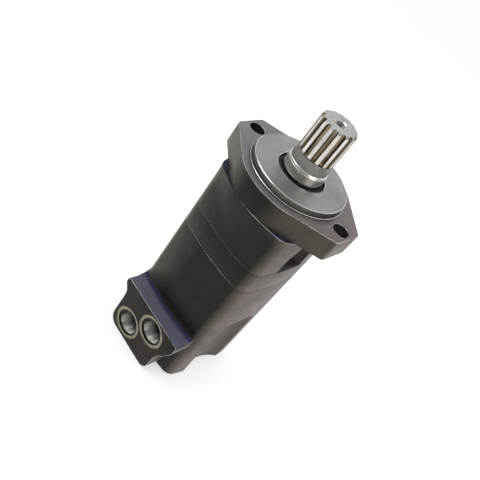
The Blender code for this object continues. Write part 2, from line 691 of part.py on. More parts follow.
def balance_group():
    """Balance ring behind the valve, its seal and the three springs that load it."""
    profile = face_profile((22.9, -118.3), (26.5, -118.3), (26.5, -120.0), (30.6, -120.0),
                           (30.6, -123.6), (25.0, -123.6), (25.0, -125.6), (23.6, -125.6),
                           (23.6, -127.8), (25.0, -127.8), (25.0, -131.0), (22.9, -131.0))
    turned("balance_ring", profile, ROUND_INSIDE, ground_steel(), closed=True)
    seal = face_profile((23.9, -125.9), (25.0, -125.9), (25.0, -127.5), (23.9, -127.5))
    turned("balance_ring_seal", seal, ROUND_INSIDE, black_rubber(), closed=True)
    for number in range(3):
        coil_spring(f"balance_spring_{number + 1}", turn((28.6 * MM, 0.0), 60 + 120 * number),
                    from_face(CAVITY_FLOOR) + GAP, from_face(-123.6 * MM) - GAP)


def coil_spring(name, place, low, high):
    """A small closed coil of round wire."""
    wire = 0.35 * MM
    coil_radius = 1.7 * MM
    turns = 3
    points_per_turn = 8
    curve = bpy.data.curves.new(name, "CURVE")
    curve.dimensions = "3D"
    curve.bevel_depth = wire
    curve.bevel_resolution = 1
    curve.use_fill_caps = True
    spline = curve.splines.new("POLY")
    count = turns * points_per_turn + 1
    spline.points.add(count - 1)
    for i, point in enumerate(spline.points):
        a = 2 * math.pi * i / points_per_turn
        z = low + wire + (high - low - 2 * wire) * i / (count - 1)
        point.co = (coil_radius * math.cos(a), coil_radius * math.sin(a), z, 1.0)
    obj = bpy.data.objects.new(name, curve)
    bpy.data.collections[MOTOR].objects.link(obj)
    curve.materials.append(spring_steel())
    obj.location = (*place, 0)


CROSS_DRILLING_RADIUS = 6.0 * MM
DROP_DRILLINGS = ((-15.5 * MM, -25 * MM, 4.2 * MM, CAVITY_FLOOR),      # x, y, radius and start of
                  (5 * MM, -3 * MM, 4.5 * MM, SLEEVE_FLOOR))           # each port's long drilling
SCOOP_RADIUS = 40.0 * MM            # long hollows between the screw lugs
SCOOP_DEPTH = 8.0 * MM
SCOOP_TOP = 79.0 * MM
SCOOP_FADE = 10.0 * MM              # height over which a hollow fades out
BODY_FLAT = 36.0 * MM               # half width of the body's side between its corners


def boss_outline():
    """Port boss seen from -Y in x and z: wide at the top, cut away on the right of the ports."""
    right = arc((17.0, 8.5), 8.5, -90, 0, 6)
    right += [(26.0, 25.0), (31.5, 34.0), (37.0, 45.5), (37.5, 54.0), (35.5, 56.0)]
    left = [(-38.0, 56.0), (-40.0, 54.0), (-40.0, 51.0), (-38.0, 47.0), (-35.0, 43.5), (-34.0, 38.0)]
    points = right + left + arc((-23.0, 11.0), 11.0, 180, 270, 6)
    return [(x * MM, z * MM) for x, z in points]


def upright(obj):
    """Stand a plate drawn in x and z upright: its extrusion then runs along Y."""
    obj.data.transform(Matrix.Rotation(math.pi / 2, 4, "X"))
    return obj


def boss_fillet():
    """Hollow fillet between the top of the boss and the body, as a form to join."""
    root = 41.5 * MM
    inner = root - 3 * MM
    section = [(inner, BOSS_TOP_Z - 3 * MM), (root + 7 * MM, BOSS_TOP_Z - 3 * MM)]
    section += arc((root + 9 * MM, BOSS_TOP_Z + 7 * MM), 7.05 * MM, 262, 182, 5)
    section += [(inner, BOSS_TOP_Z + 8 * MM)]
    blend = plate("fillet_form", [section], -BODY_FLAT, BODY_FLAT, cutter=True)
    blend.data.transform(Matrix(((0, 0, 1, 0), (-1, 0, 0, 0), (0, 1, 0, 0), (0, 0, 0, 1))))
    weld(blend.data)
    return blend


def scoop_cutter(x, y):
    """Hollow between two screw lugs that fades out at its top."""
    fade = [(SCOOP_RADIUS - SCOOP_DEPTH * (1 - math.sin(a)), SCOOP_TOP - SCOOP_FADE * (1 - math.cos(a)))
            for a in (math.pi * i / 8 for i in range(5))]
    cutter = turned("scoop_cutter", [(0, SCOOP_TOP)] + fade + [(SCOOP_RADIUS, -CLEAR), (0, -CLEAR)],
                    ROUND_OUTSIDE, cutter=True)
    cutter.location = (x, y, 0)
    return cutter


def valve_housing():
    """Rear casting: port boss, valve cavity, port drillings and the screw seats."""
    front = from_face(VALVE_SEAM) - GAP / 2
    housing = plate("valve_housing", [body_outline()], 0.0, front, painted_iron())
    boss = upright(plate("boss_form", [boss_outline()], 20 * MM, -PORT_FACE_Y, cutter=True))
    boolean(housing, boss, "UNION")
    boolean(housing, boss_fillet(), "UNION")
    reach = HALF_WIDTH + SCOOP_RADIUS - SCOOP_DEPTH
    for x, y in ((reach, 0), (-reach, 0), (0, reach)):
        boolean(housing, scoop_cutter(x, y))
    plate_flat = box_cutter("plate_flat_cutter", (-17 * MM, -6 * MM, 66 * MM), (17 * MM, 0, 126 * MM))
    plate_flat.rotation_euler.z = math.radians(-7.5)
    plate_flat.location = (-22.1 * MM, -42.3 * MM, 0)
    boolean(housing, plate_flat)
    cavity = [(0, front + 1 * MM), (PLATE_BORE, front + 1 * MM), (PLATE_BORE, from_face(PLATE_BACK)),
              (CAVITY_BORE, from_face(PLATE_BACK)), (CAVITY_BORE, from_face(CAVITY_FLOOR)),
              (SLEEVE_BORE, from_face(CAVITY_FLOOR)), (SLEEVE_BORE, from_face(SLEEVE_FLOOR)),
              (0, from_face(SLEEVE_FLOOR))]
    boolean(housing, turned("cavity_cutter", cavity, ROUND_INSIDE, cutter=True))
    boolean(housing, seal_groove("rear_seal_groove", *REAR_SEAL, front - SEAL_GROOVE_DEPTH,
                                 front + CLEAR))
    for (x, z), (drop_x, drop_y, drop_radius, start) in zip(PORTS, DROP_DRILLINGS):
        boolean(housing, port_cutter(x, z))
        boolean(housing, drill("cross_drilling", CROSS_DRILLING_RADIUS, PORT_FACE_Y + 20 * MM, drop_y,
                               (x, 0, z), "Y", 12))
        boolean(housing, drill("drop_drilling", drop_radius, z, from_face(start) + 1 * MM,
                               (drop_x, drop_y, 0), segments=12))
    for x, y in screw_places():
        boolean(housing, drill("screw_hole_cutter", SCREW_RADIUS + GAP, -1 * MM, front + 1 * MM,
                               (x, y, 0), segments=ROUND_HOLE))
        boolean(housing, drill("screw_seat_cutter", SCREW_HEAD_RADIUS + GAP, -1 * MM, SCREW_SEAT_Z,
                               (x, y, 0), segments=20))
    boolean(housing, drill("drain_spotface_cutter", 9.2 * MM, 42.6 * MM, 50 * MM,
                           (0, 0, from_face(DRAIN_Z)), "Y", 20))
    boolean(housing, drill("drain_hole_cutter", 5.0 * MM, 34.5 * MM, 50 * MM,
                           (0, 0, from_face(DRAIN_Z)), "Y", ROUND_HOLE))
    return housing


def port_cutter(x, z):
    """Stepped port: shallow spotface, entry chamfer, threaded bore."""
    face = -PORT_FACE_Y
    seat = face - SPOTFACE_DEPTH
    floor = face - PORT_DEPTH
    profile = [(0, face + CLEAR), (PORT_SPOTFACE_RADIUS, face + CLEAR), (PORT_SPOTFACE_RADIUS, seat),
               (12.0 * MM, seat), (PORT_BORE_RADIUS, seat - 1.8 * MM), (PORT_BORE_RADIUS, floor),
               (0, floor - 3 * MM)]
    cutter = turned("port_cutter", profile, 24, cutter=True)
    cutter.rotation_euler = (math.pi / 2, 0, 0)
    cutter.location = (x, 0, z)
    return cutter


# ---- fasteners and section seals ---------------------------------------------
def section_seals():
    """O-rings in the two faces that clamp the geroler ring."""
    cord = 0.8 * MM
    front = from_face(HOUSING_SEAM) + GAP / 2 + cord
    rear = from_face(VALVE_SEAM) - GAP / 2 - cord
    for name, groove, z in (("section_seal_front", FRONT_SEAL, front),
                            ("section_seal_rear", REAR_SEAL, rear)):
        profile = arc((sum(groove) / 2, z), cord, 180, -120, 6)
        turned(name, profile, ROUND_INSIDE, black_rubber(), closed=True)


def cap_screws():
    """Four socket-head screws that clamp the three sections together."""
    seat = SCREW_SEAT_Z - GAP
    tip = from_face(HOUSING_SEAM) + THREAD_DEPTH - CLEAR
    root = SCREW_SEAT_Z - SCREW_HEAD_HEIGHT
    chamfer = 0.8 * MM
    profile = [(0, tip), (SCREW_RADIUS - chamfer, tip), (SCREW_RADIUS, tip - chamfer), (SCREW_RADIUS, seat),
               (SCREW_HEAD_RADIUS, seat), (SCREW_HEAD_RADIUS, root + chamfer),
               (SCREW_HEAD_RADIUS - chamfer, root), (0, root)]
    for number, (x, y) in enumerate(screw_places()):
        screw = turned(f"cap_screw_{number + 1}", profile, ROUND_HOLE, dark_steel())
        screw.location = (x, y, 0)
        hexagon = drill("screw_socket_cutter", 4.62 * MM, root - 1 * MM, root + 5 * MM, (x, y, 0),
                        segments=6)
        boolean(screw, hexagon)


def drain_plug():
    """Hex-socket plug with its O-ring, screwed into the +Y side."""
    z = from_face(DRAIN_Z)
    profile = [(0, 36.8), (4.0, 36.8), (4.7, 37.5), (4.7, 42.9), (8.4, 42.9), (8.4, 45.4), (7.9, 45.9),
               (0, 45.9)]
    body = [(r * MM, h * MM) for r, h in reversed(profile)]
    plug = turned("drain_plug", body, 20, dark_steel())
    plug.rotation_euler = (-math.pi / 2, 0, 0)
    plug.location = (0, 0, z)
    boolean(plug, drill("plug_socket_cutter", 3.3 * MM, 42 * MM, 47 * MM, (0, 0, z), "Y", 6))


def main():
    start_clean()
    smooth(bearing_housing())
    output_shaft()
    shaft_seals()
    bearing_group()
    drive_link()
    geroler_set()
    valve_drive_link()
    smooth(valve_plate())
    disc_valve()
    balance_group()
    smooth(valve_housing())
    section_seals()
    cap_screws()
    drain_plug()


main()
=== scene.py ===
"""Looks of an orbital hydraulic motor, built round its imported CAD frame.

The motor stands on its rear face: +Z runs along the shaft, the flange ears lie along X and the
ports face -Y. Castings, shaft, screws and seals are finer pieces that stand for their CAD nodes;
the pieces sealed inside keep their CAD shape and get procedural materials.
"""
import json
import math

import bmesh
import bpy
from mathutils import Matrix, Vector


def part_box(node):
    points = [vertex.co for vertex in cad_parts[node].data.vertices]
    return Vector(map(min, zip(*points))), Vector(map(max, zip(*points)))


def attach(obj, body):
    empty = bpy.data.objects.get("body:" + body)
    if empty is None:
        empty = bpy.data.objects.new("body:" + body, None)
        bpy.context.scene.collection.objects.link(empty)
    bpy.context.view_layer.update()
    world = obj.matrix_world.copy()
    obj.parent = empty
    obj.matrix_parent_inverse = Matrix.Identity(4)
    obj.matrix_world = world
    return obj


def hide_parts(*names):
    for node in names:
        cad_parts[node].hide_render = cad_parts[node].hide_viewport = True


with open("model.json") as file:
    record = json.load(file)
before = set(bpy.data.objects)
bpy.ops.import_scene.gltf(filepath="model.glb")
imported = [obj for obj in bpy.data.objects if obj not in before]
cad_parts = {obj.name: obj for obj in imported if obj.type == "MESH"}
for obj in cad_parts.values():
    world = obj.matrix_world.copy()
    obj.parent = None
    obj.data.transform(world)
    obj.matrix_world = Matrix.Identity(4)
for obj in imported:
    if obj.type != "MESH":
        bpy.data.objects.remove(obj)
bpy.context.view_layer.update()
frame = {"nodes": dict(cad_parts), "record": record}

MM = 0.001

# ---- sizes read from the frame -------------------------------------------------
housing_low, housing_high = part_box("bearing_housing")
ring_low, ring_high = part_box("geroler_ring")
valve_low, valve_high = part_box("valve_housing")
shaft_low, shaft_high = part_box("output_shaft")
screw_low, screw_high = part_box("cap_screw_1")
plug_low, plug_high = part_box("drain_plug")
seal_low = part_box("dust_seal")[0]

# ---- driving dimensions, as in the CAD -----------------------------------------
PILOT_RADIUS = 41.275 * MM
PILOT_HEIGHT = 6.35 * MM
PILOT_STEP_RADIUS = 42.7 * MM
PILOT_STEP_HEIGHT = 1.5 * MM
FACE_Z = housing_high.z - PILOT_HEIGHT
HALF_WIDTH = ring_high.x
SIDE_RADIUS = 200.0 * MM
CORNER_RADIUS = 10.0 * MM
FLANGE_RADIUS = 49.0 * MM
FLANGE_THICKNESS = 20.0 * MM
EAR_END_X = housing_high.x
EAR_HALF_WIDTH = 16.5 * MM
EAR_CORNER_RADIUS = 4.0 * MM
MOUNT_HOLE_X = 53.2 * MM
MOUNT_HOLE_RADIUS = 6.75 * MM
EAR_SCALLOP_RADIUS = 18.0 * MM
SCREW_CIRCLE = 44.5 * MM
SCREW_RADIUS = 5.0 * MM
SCREW_HEAD_RADIUS = 8.0 * MM
SCREW_SEAT_Z = 10.6 * MM
GAP = 0.3 * MM
PORT_FACE_Y = valve_low.y
PORTS = ((-15.5 * MM, 17.5 * MM), (8.5 * MM, 39.0 * MM))
PORT_BORE_RADIUS = 11.1 * MM
PORT_DEPTH = 21.0 * MM
PORT_SPOTFACE_RADIUS = 15.5 * MM
BOSS_TOP_Z = 56.0 * MM
DRAIN_Z = (plug_low.z + plug_high.z) / 2
SPLINE_TEETH = 14
SPLINE_LOW = FACE_Z + 26.0 * MM
EDGE = 0.45 * MM                    # rounding of the machined edges

CASE = "case"


def from_face(millimetres):
    """World height of a place given in millimetres from the mounting face."""
    return FACE_Z + millimetres * MM


# ---- node materials --------------------------------------------------------------
class Surface:
    """A Principled material and the node helpers that build its pattern."""

    def __init__(self, name, colour, roughness, metallic=0.0):
        self.material = bpy.data.materials.new(name)
        self.material.use_nodes = True
        self.nodes = self.material.node_tree.nodes
        self.links = self.material.node_tree.links
        self.shader = self.nodes["Principled BSDF"]
        self.shader.inputs["Base Color"].default_value = (*colour, 1.0)
        self.shader.inputs["Roughness"].default_value = roughness
        self.shader.inputs["Metallic"].default_value = metallic
        self.place = self.nodes.new("ShaderNodeTexCoord").outputs["Object"]

    def scaled(self, scale):
        """Object coordinates stretched along each axis."""
        mapping = self.nodes.new("ShaderNodeMapping")
        mapping.inputs["Scale"].default_value = scale
        self.links.new(self.place, mapping.inputs["Vector"])
        return mapping.outputs["Vector"]

    def noise(self, scale, detail=3.0, roughness=0.55, place=None):
        node = self.nodes.new("ShaderNodeTexNoise")
        node.inputs["Scale"].default_value = scale
        node.inputs["Detail"].default_value = detail
        node.inputs["Roughness"].default_value = roughness
        self.links.new(place or self.place, node.inputs["Vector"])
        return node.outputs["Fac"]

    def ramp(self, source, stops):
        """Colour ramp with (position, colour or grey) stops."""
        node = self.nodes.new("ShaderNodeValToRGB")
        elements = node.color_ramp.elements
        while len(elements) < len(stops):
            elements.new(0.5)
        for element, (position, value) in zip(elements, stops):
            element.position = position
            element.color = (*value, 1.0) if isinstance(value, tuple) else (value, value, value, 1.0)
        self.links.new(source, node.inputs["Fac"])
        return node.outputs["Color"]

    def mix(self, factor, first, second, blend="MIX"):
        """Mix two colours, each a socket or a tuple."""
        node = self.nodes.new("ShaderNodeMix")
        node.data_type = "RGBA"
        node.blend_type = blend
        for value, socket in ((factor, node.inputs[0]), (first, node.inputs[6]), (second, node.inputs[7])):
            if isinstance(value, bpy.types.NodeSocket):
                self.links.new(value, socket)
            elif isinstance(value, tuple):
                socket.default_value = (*value, 1.0)
            else:
                socket.default_value = value
        return node.outputs[2]

    def colour(self, source):
        self.links.new(source, self.shader.inputs["Base Color"])

    def roughness(self, source):
        self.links.new(source, self.shader.inputs["Roughness"])

    def bump(self, *layers):
        """Chain bump layers, each (height socket, strength, distance)."""
        normal = None
        for height, strength, distance in layers:
            node = self.nodes.new("ShaderNodeBump")
            node.inputs["Strength"].default_value = strength
            node.inputs["Distance"].default_value = distance
            self.links.new(height, node.inputs["Height"])
            if normal:
                self.links.new(normal, node.inputs["Normal"])
            normal = node.outputs["Normal"]
        self.links.new(normal, self.shader.inputs["Normal"])

    def along(self, source, axis, low, high):
        """One component of a vector, low to high spread over 0 to 1."""
        split = self.nodes.new("ShaderNodeSeparateXYZ")
        self.links.new(source, split.inputs[0])
        spread = self.nodes.new("ShaderNodeMapRange")
        spread.inputs["From Min"].default_value = low
        spread.inputs["From Max"].default_value = high
        self.links.new(split.outputs[axis], spread.inputs["Value"])
        return spread.outputs["Result"]

    def facing(self, axis):
        """0 where the surface faces against an axis, 0.5 across it and 1 along it."""
        geometry = self.nodes.new("ShaderNodeNewGeometry")
        return self.along(geometry.outputs["Normal"], axis, -1.0, 1.0)

    def radius(self):
        """Distance from the shaft axis."""
        flat = self.scaled((1.0, 1.0, 0.0))
        node = self.nodes.new("ShaderNodeVectorMath")
        node.operation = "LENGTH"
        self.links.new(flat, node.inputs[0])
        return node.outputs["Value"]

    def rings(self, source, per_metre, distortion=0.0):
        """Fine tool rings: a noise read along one value only."""
        node = self.nodes.new("ShaderNodeTexNoise")
        node.noise_dimensions = "1D"
        node.inputs["Scale"].default_value = per_metre
        node.inputs["Detail"].default_value = 2.0
        node.inputs["Distortion"].default_value = distortion
        self.links.new(source, node.inputs["W"])
        return node.outputs["Fac"]


def cast_paint():
    """Semi-gloss charcoal paint over a fine sand-cast skin, with painted light: lighter on the sides that
    face along X and towards the left, and a painted bluish reflection on faces turned up.
    """
    s = Surface("cast_paint", (0.012, 0.011, 0.009), 0.42)
    # Painted light: sides facing -X are lighter grey, sides facing +X warm brownish, and faces across X
    # darkest.
    side = s.ramp(s.facing("X"), [(0.0, (0.170, 0.160, 0.138)), (0.22, (0.060, 0.056, 0.044)),
                                  (0.42, (0.008, 0.0075, 0.004)), (0.62, (0.009, 0.008, 0.004)),
                                  (0.80, (0.056, 0.046, 0.038)), (1.0, (0.108, 0.088, 0.076))])
    # Painted light: the colour lightens towards the left edge of the body.
    left = s.ramp(s.along(s.place, "X", -0.044, 0.0), [(0.0, 1.0), (0.75, 0.0)])
    painted_side_light = s.mix(s.mix(0.6, left, (0.0, 0.0, 0.0)), side, (0.140, 0.128, 0.104))
    patches = s.ramp(s.noise(26.0, 4.0), [(0.35, 0.72), (0.65, 1.25)])
    body = s.mix(1.0, painted_side_light, patches, "MULTIPLY")
    # Painted reflection: faces turned up are lighter and bluish, for the cool light from above.
    up = s.ramp(s.facing("Z"), [(0.70, 0.0), (0.82, 1.0)])
    sky_reflection = s.ramp(s.facing("Z"), [(0.88, (0.026, 0.028, 0.066)), (0.995, (0.120, 0.126, 0.170))])
    s.colour(s.mix(up, body, sky_reflection))
    s.roughness(s.ramp(s.noise(160.0, 3.0), [(0.3, 0.36), (0.7, 0.48)]))
    s.bump((s.noise(60.0, 2.0), 0.45, 0.0012), (s.noise(900.0, 3.0), 0.22, 0.00025))
    s.shader.inputs["Specular IOR Level"].default_value = 0.18
    return s.material


def ledge_paint():
    """Blue-black paint on the ledges under the flange; the blue is a painted reflection of the cool light
    from above.
    """
    s = Surface("ledge_paint", (0.025, 0.027, 0.05), 0.4)
    s.colour(s.ramp(s.noise(80.0, 4.0), [(0.35, (0.014, 0.015, 0.032)), (0.7, (0.034, 0.036, 0.064))]))
    s.roughness(s.ramp(s.noise(250.0, 3.0), [(0.3, 0.34), (0.7, 0.48)]))
    s.bump((s.noise(900.0, 3.0), 0.20, 0.0002))
    return s.material


def port_paint():
    """Darker brown paint on the machined port face, with flat tool marks; on the scallop walls behind the
    ears it is painted shade.
    """
    s = Surface("port_paint", (0.026, 0.018, 0.013), 0.42)
    patches = s.noise(45.0, 4.0)
    s.colour(s.ramp(patches, [(0.35, (0.010, 0.007, 0.004)), (0.7, (0.024, 0.015, 0.012))]))
    s.roughness(s.ramp(s.noise(220.0, 2.0), [(0.3, 0.38), (0.7, 0.50)]))
    s.shader.inputs["Specular IOR Level"].default_value = 0.16
    marks = s.noise(30.0, 2.0, place=s.scaled((1.0, 1.0, 40.0)))
    s.bump((marks, 0.10, 0.0002), (s.noise(1100.0, 2.0), 0.15, 0.0002))
    return s.material


def painted_edge():
    """Edges where the paint is thin and rubbed through to the iron."""
    s = Surface("painted_edge", (0.3, 0.29, 0.28), 0.35, 0.5)
    rub = s.noise(90.0, 5.0, 0.7)
    s.colour(s.ramp(rub, [(0.35, (0.10, 0.095, 0.09)), (0.6, (0.46, 0.45, 0.44))]))
    s.roughness(s.ramp(s.noise(400.0, 2.0), [(0.3, 0.28), (0.7, 0.42)]))
    s.bump((s.noise(900.0, 2.0), 0.15, 0.0002))
    return s.material


def seam_edge(name, rubbed, bare, highlight_window):
    """Hairline arris with rubbed paint, bright as a painted highlight; its window holds (part of the width,
    how far the painted highlight fades back to plain paint).
    """
    s = Surface(name, (0.1, 0.1, 0.1), 0.36, 0.25)
    rub = s.ramp(s.noise(70.0, 5.0, 0.7), [(0.3, rubbed), (0.6, bare)])
    # Painted highlight: outside a window along X the bright line fades back to plain paint, where the light
    # no longer catches it.
    highlight_fade = s.ramp(s.along(s.place, "X", -0.05, 0.05), highlight_window)
    s.colour(s.mix(highlight_fade, rub, (0.016, 0.014, 0.012)))
    s.roughness(s.ramp(s.noise(400.0, 2.0), [(0.3, 0.30), (0.7, 0.42)]))
    s.bump((s.noise(900.0, 2.0), 0.12, 0.0002))
    return s.material


def flange_face():
    """Milled mounting face under thin paint, with painted light: lighter and bluish on the left ear, darker
    and brownish on the right.
    """
    s = Surface("flange_face", (0.2, 0.19, 0.18), 0.5, 0.35)
    # Painted light: lighter from the left, darker and warmer towards the right.
    left_to_right_light = s.ramp(s.along(s.place, "X", -0.06, 0.06),
                    [(0.0, (0.245, 0.238, 0.240)), (0.45, (0.185, 0.175, 0.170)),
                     (1.0, (0.180, 0.148, 0.138))])
    cloud = s.ramp(s.noise(35.0, 4.0), [(0.35, 0.85), (0.65, 1.12)])
    s.colour(s.mix(1.0, left_to_right_light, cloud, "MULTIPLY"))
    s.roughness(s.ramp(s.noise(180.0, 4.0), [(0.3, 0.42), (0.7, 0.58)]))
    s.bump((s.rings(s.radius(), 1800.0), 0.10, 0.00012), (s.noise(1200.0, 2.0), 0.12, 0.00012))
    return s.material


def turned_face(name, dark, light, glint):
    """Lathe-turned iron under a thin clear coat: fine rings round the shaft axis."""
    s = Surface(name, light, 0.40, 0.75)
    radius = s.radius()
    tint = s.ramp(s.noise(22.0, 3.0), [(0.35, dark), (0.65, light)])
    s.colour(s.mix(s.ramp(s.rings(radius, 320.0), [(0.3, 0.0), (0.7, 0.22)]), tint, glint))
    s.roughness(s.ramp(s.noise(150.0, 4.0), [(0.3, 0.36), (0.7, 0.50)]))
    s.bump((s.rings(radius, 2600.0), 0.16, 0.00012), (s.noise(1300.0, 2.0), 0.08, 0.0001))
    return s.material


def bright_edge():
    """Chamfers left bright by the cutting tool."""
    s = Surface("bright_edge", (0.75, 0.74, 0.72), 0.22, 1.0)
    s.colour(s.ramp(s.noise(300.0, 3.0), [(0.35, (0.62, 0.61, 0.60)), (0.65, (0.86, 0.85, 0.83))]))
    s.bump((s.noise(1500.0, 2.0), 0.10, 0.0001))
    return s.material


def spotface_metal():
    """Machined seat round each port: yellowish grey, with turning marks and stains."""
    s = Surface("spotface_metal", (0.24, 0.225, 0.165), 0.42, 0.55)
    stain = s.noise(140.0, 5.0, 0.65)
    s.colour(s.ramp(stain, [(0.3, (0.165, 0.15, 0.095)), (0.55, (0.27, 0.25, 0.185)),
                            (0.8, (0.36, 0.34, 0.27))]))
    s.roughness(s.ramp(s.noise(500.0, 3.0), [(0.3, 0.34), (0.7, 0.52)]))
    s.bump((s.noise(1400.0, 2.0), 0.16, 0.00015))
    return s.material


def thread_steel():
    """Freshly cut thread with painted light: bright where the flanks face up, painted shade where they face
    down and deep in the port.
    """
    s = Surface("thread_steel", (0.6, 0.58, 0.55), 0.30, 1.0)
    bright = s.ramp(s.noise(90.0, 3.0), [(0.3, (0.55, 0.53, 0.50)), (0.7, (0.80, 0.79, 0.77))])
    # Painted light: flanks facing up are bright, the others dark.
    lit = s.mix(s.ramp(s.facing("Z"), [(0.56, 0.0), (0.80, 1.0)]), (0.030, 0.024, 0.016), bright)
    # Painted shade: darker deeper in the port, away from its mouth.
    mouth_light = s.ramp(s.along(s.place, "Z", 0.043, 0.053), [(0.0, 0.0), (1.0, 1.0)])
    s.colour(s.mix(mouth_light, (0.020, 0.016, 0.011), lit))
    s.roughness(s.ramp(s.noise(300.0, 3.0), [(0.3, 0.26), (0.7, 0.40)]))
    s.bump((s.noise(900.0, 2.0), 0.06, 0.0001))
    return s.material


def drilled_dark():
    """Oily drilled passages and the inside of the housings, coloured dark as painted shade in the holes."""
    s = Surface("drilled_dark", (0.04, 0.03, 0.02), 0.5, 0.5)
    s.colour(s.ramp(s.noise(120.0, 4.0), [(0.3, (0.020, 0.015, 0.011)), (0.7, (0.065, 0.055, 0.045))]))
    s.bump((s.noise(700.0, 3.0), 0.20, 0.0002))
    return s.material


def ground_shaft():
    """Cylindrically ground steel with very fine rings round the axis."""
    s = Surface("ground_shaft", (0.60, 0.58, 0.55), 0.22, 1.0)
    split = s.nodes.new("ShaderNodeSeparateXYZ")
    s.links.new(s.place, split.inputs[0])
    rings = s.rings(split.outputs["Z"], 3200.0)
    cloud = s.noise(90.0, 4.0)
    s.colour(s.ramp(cloud, [(0.3, (0.44, 0.42, 0.38)), (0.65, (0.66, 0.65, 0.62))]))
    s.roughness(s.ramp(s.noise(220.0, 3.0), [(0.3, 0.17), (0.7, 0.30)]))
    s.bump((rings, 0.10, 0.00008))
    return s.material


def satin_shaft():
    """The duller neck and end face of the shaft."""
    s = Surface("satin_shaft", (0.42, 0.41, 0.39), 0.36, 0.9)
    s.colour(s.ramp(s.noise(120.0, 4.0), [(0.3, (0.17, 0.16, 0.145)), (0.7, (0.27, 0.26, 0.25))]))
    s.roughness(s.ramp(s.noise(300.0, 3.0), [(0.3, 0.32), (0.7, 0.46)]))
    s.bump((s.noise(1500.0, 2.0), 0.12, 0.0001))
    return s.material


def oiled_groove():
    """Hobbed flanks and roots of the spline, brown with oil."""
    s = Surface("oiled_groove", (0.2, 0.16, 0.11), 0.32, 0.9)
    streaks = s.noise(60.0, 4.0, place=s.scaled((6.0, 6.0, 0.7)))
    s.colour(s.ramp(streaks, [(0.3, (0.085, 0.066, 0.042)), (0.55, (0.20, 0.165, 0.115)),
                              (0.8, (0.34, 0.30, 0.23))]))
    s.roughness(s.ramp(s.noise(260.0, 3.0), [(0.3, 0.24), (0.7, 0.42)]))
    s.bump((streaks, 0.12, 0.0002))
    return s.material


def hidden_steel(name, low, high, roughness):
    """Ground steel for the pieces sealed inside."""
    s = Surface(name, low, roughness, 1.0)
    s.colour(s.ramp(s.noise(150.0, 4.0), [(0.3, low), (0.7, high)]))
    s.roughness(s.ramp(s.noise(350.0, 3.0), [(0.3, roughness * 0.8), (0.7, roughness * 1.25)]))
    s.bump((s.noise(1200.0, 2.0), 0.10, 0.0001))
    return s.material


def black_oxide():
    """Blackened screws with lighter rubbed crests."""
    s = Surface("black_oxide", (0.03, 0.03, 0.03), 0.38, 0.6)
    s.colour(s.ramp(s.noise(260.0, 4.0, 0.65),
                    [(0.35, (0.018, 0.018, 0.020)), (0.75, (0.075, 0.073, 0.070))]))
    s.roughness(s.ramp(s.noise(400.0, 3.0), [(0.3, 0.30), (0.7, 0.48)]))
    s.bump((s.noise(1100.0, 2.0), 0.18, 0.00015))
    return s.material


def moulded_rubber(name, low, high):
    """Matt moulded rubber with a dusty bloom."""
    s = Surface(name, low, 0.62)
    s.colour(s.ramp(s.noise(200.0, 4.0), [(0.35, low), (0.75, high)]))
    s.roughness(s.ramp(s.noise(500.0, 3.0), [(0.3, 0.55), (0.7, 0.75)]))
    s.bump((s.noise(1500.0, 3.0), 0.25, 0.0002))
    return s.material


PAINT = cast_paint()
PORT_PAINT = port_paint()
PAINTED_EDGE = painted_edge()
# Each seam's X window keeps its bright line to the stretch where the light catches it: painted highlight.
FAINT_SEAM = seam_edge("faint_seam", (0.03, 0.028, 0.022), (0.22, 0.21, 0.18), [(0.66, 0.0), (0.84, 1.0)])
CLEAR_SEAM = seam_edge("clear_seam", (0.14, 0.135, 0.12), (0.80, 0.78, 0.72), [(0.70, 0.0), (0.86, 1.0)])
LEDGE_RIM = seam_edge("ledge_rim", (0.20, 0.20, 0.19), (0.75, 0.75, 0.72),
                      [(0.46, 1.0), (0.56, 0.0), (0.90, 0.0), (0.96, 1.0)])
LEDGE = ledge_paint()
FLANGE_FACE = flange_face()
SHAFT_END = turned_face("shaft_end", (0.34, 0.33, 0.32), (0.46, 0.45, 0.44), (0.56, 0.55, 0.54))
TURNED = turned_face("turned_face", (0.235, 0.23, 0.235), (0.33, 0.32, 0.305), (0.42, 0.41, 0.40))
# The pilot's side wall takes a darker copy of the turned face: painted shade.
PILOT_WALL = turned_face("pilot_wall", (0.085, 0.078, 0.070), (0.15, 0.14, 0.125), (0.30, 0.29, 0.27))
BRIGHT = bright_edge()
SPOTFACE = spotface_metal()
THREAD = thread_steel()
DRILLED = drilled_dark()
GROUND = ground_shaft()
SATIN = satin_shaft()
GROOVE = oiled_groove()
OXIDE = black_oxide()
RUBBER = moulded_rubber("black_rubber", (0.012, 0.012, 0.013), (0.035, 0.035, 0.038))


# ---- mesh helpers ------------------------------------------------------------------
def arc(centre, radius, start, end, count):
    """Points of an arc in degrees, both ends included."""
    angles = [math.radians(start + (end - start) * i / (count - 1)) for i in range(count)]
    return [(centre[0] + radius * math.cos(a), centre[1] + radius * math.sin(a)) for a in angles]


def turn(point, degrees):
    """Turn a flat point round the origin."""
    a = math.radians(degrees)
    return (point[0] * math.cos(a) - point[1] * math.sin(a),
            point[0] * math.sin(a) + point[1] * math.cos(a))


def new_object(name, mesh, surfaces):
    obj = bpy.data.objects.new(name, mesh)
    bpy.context.scene.collection.objects.link(obj)
    for surface in surfaces:
        mesh.materials.append(surface)
    return obj


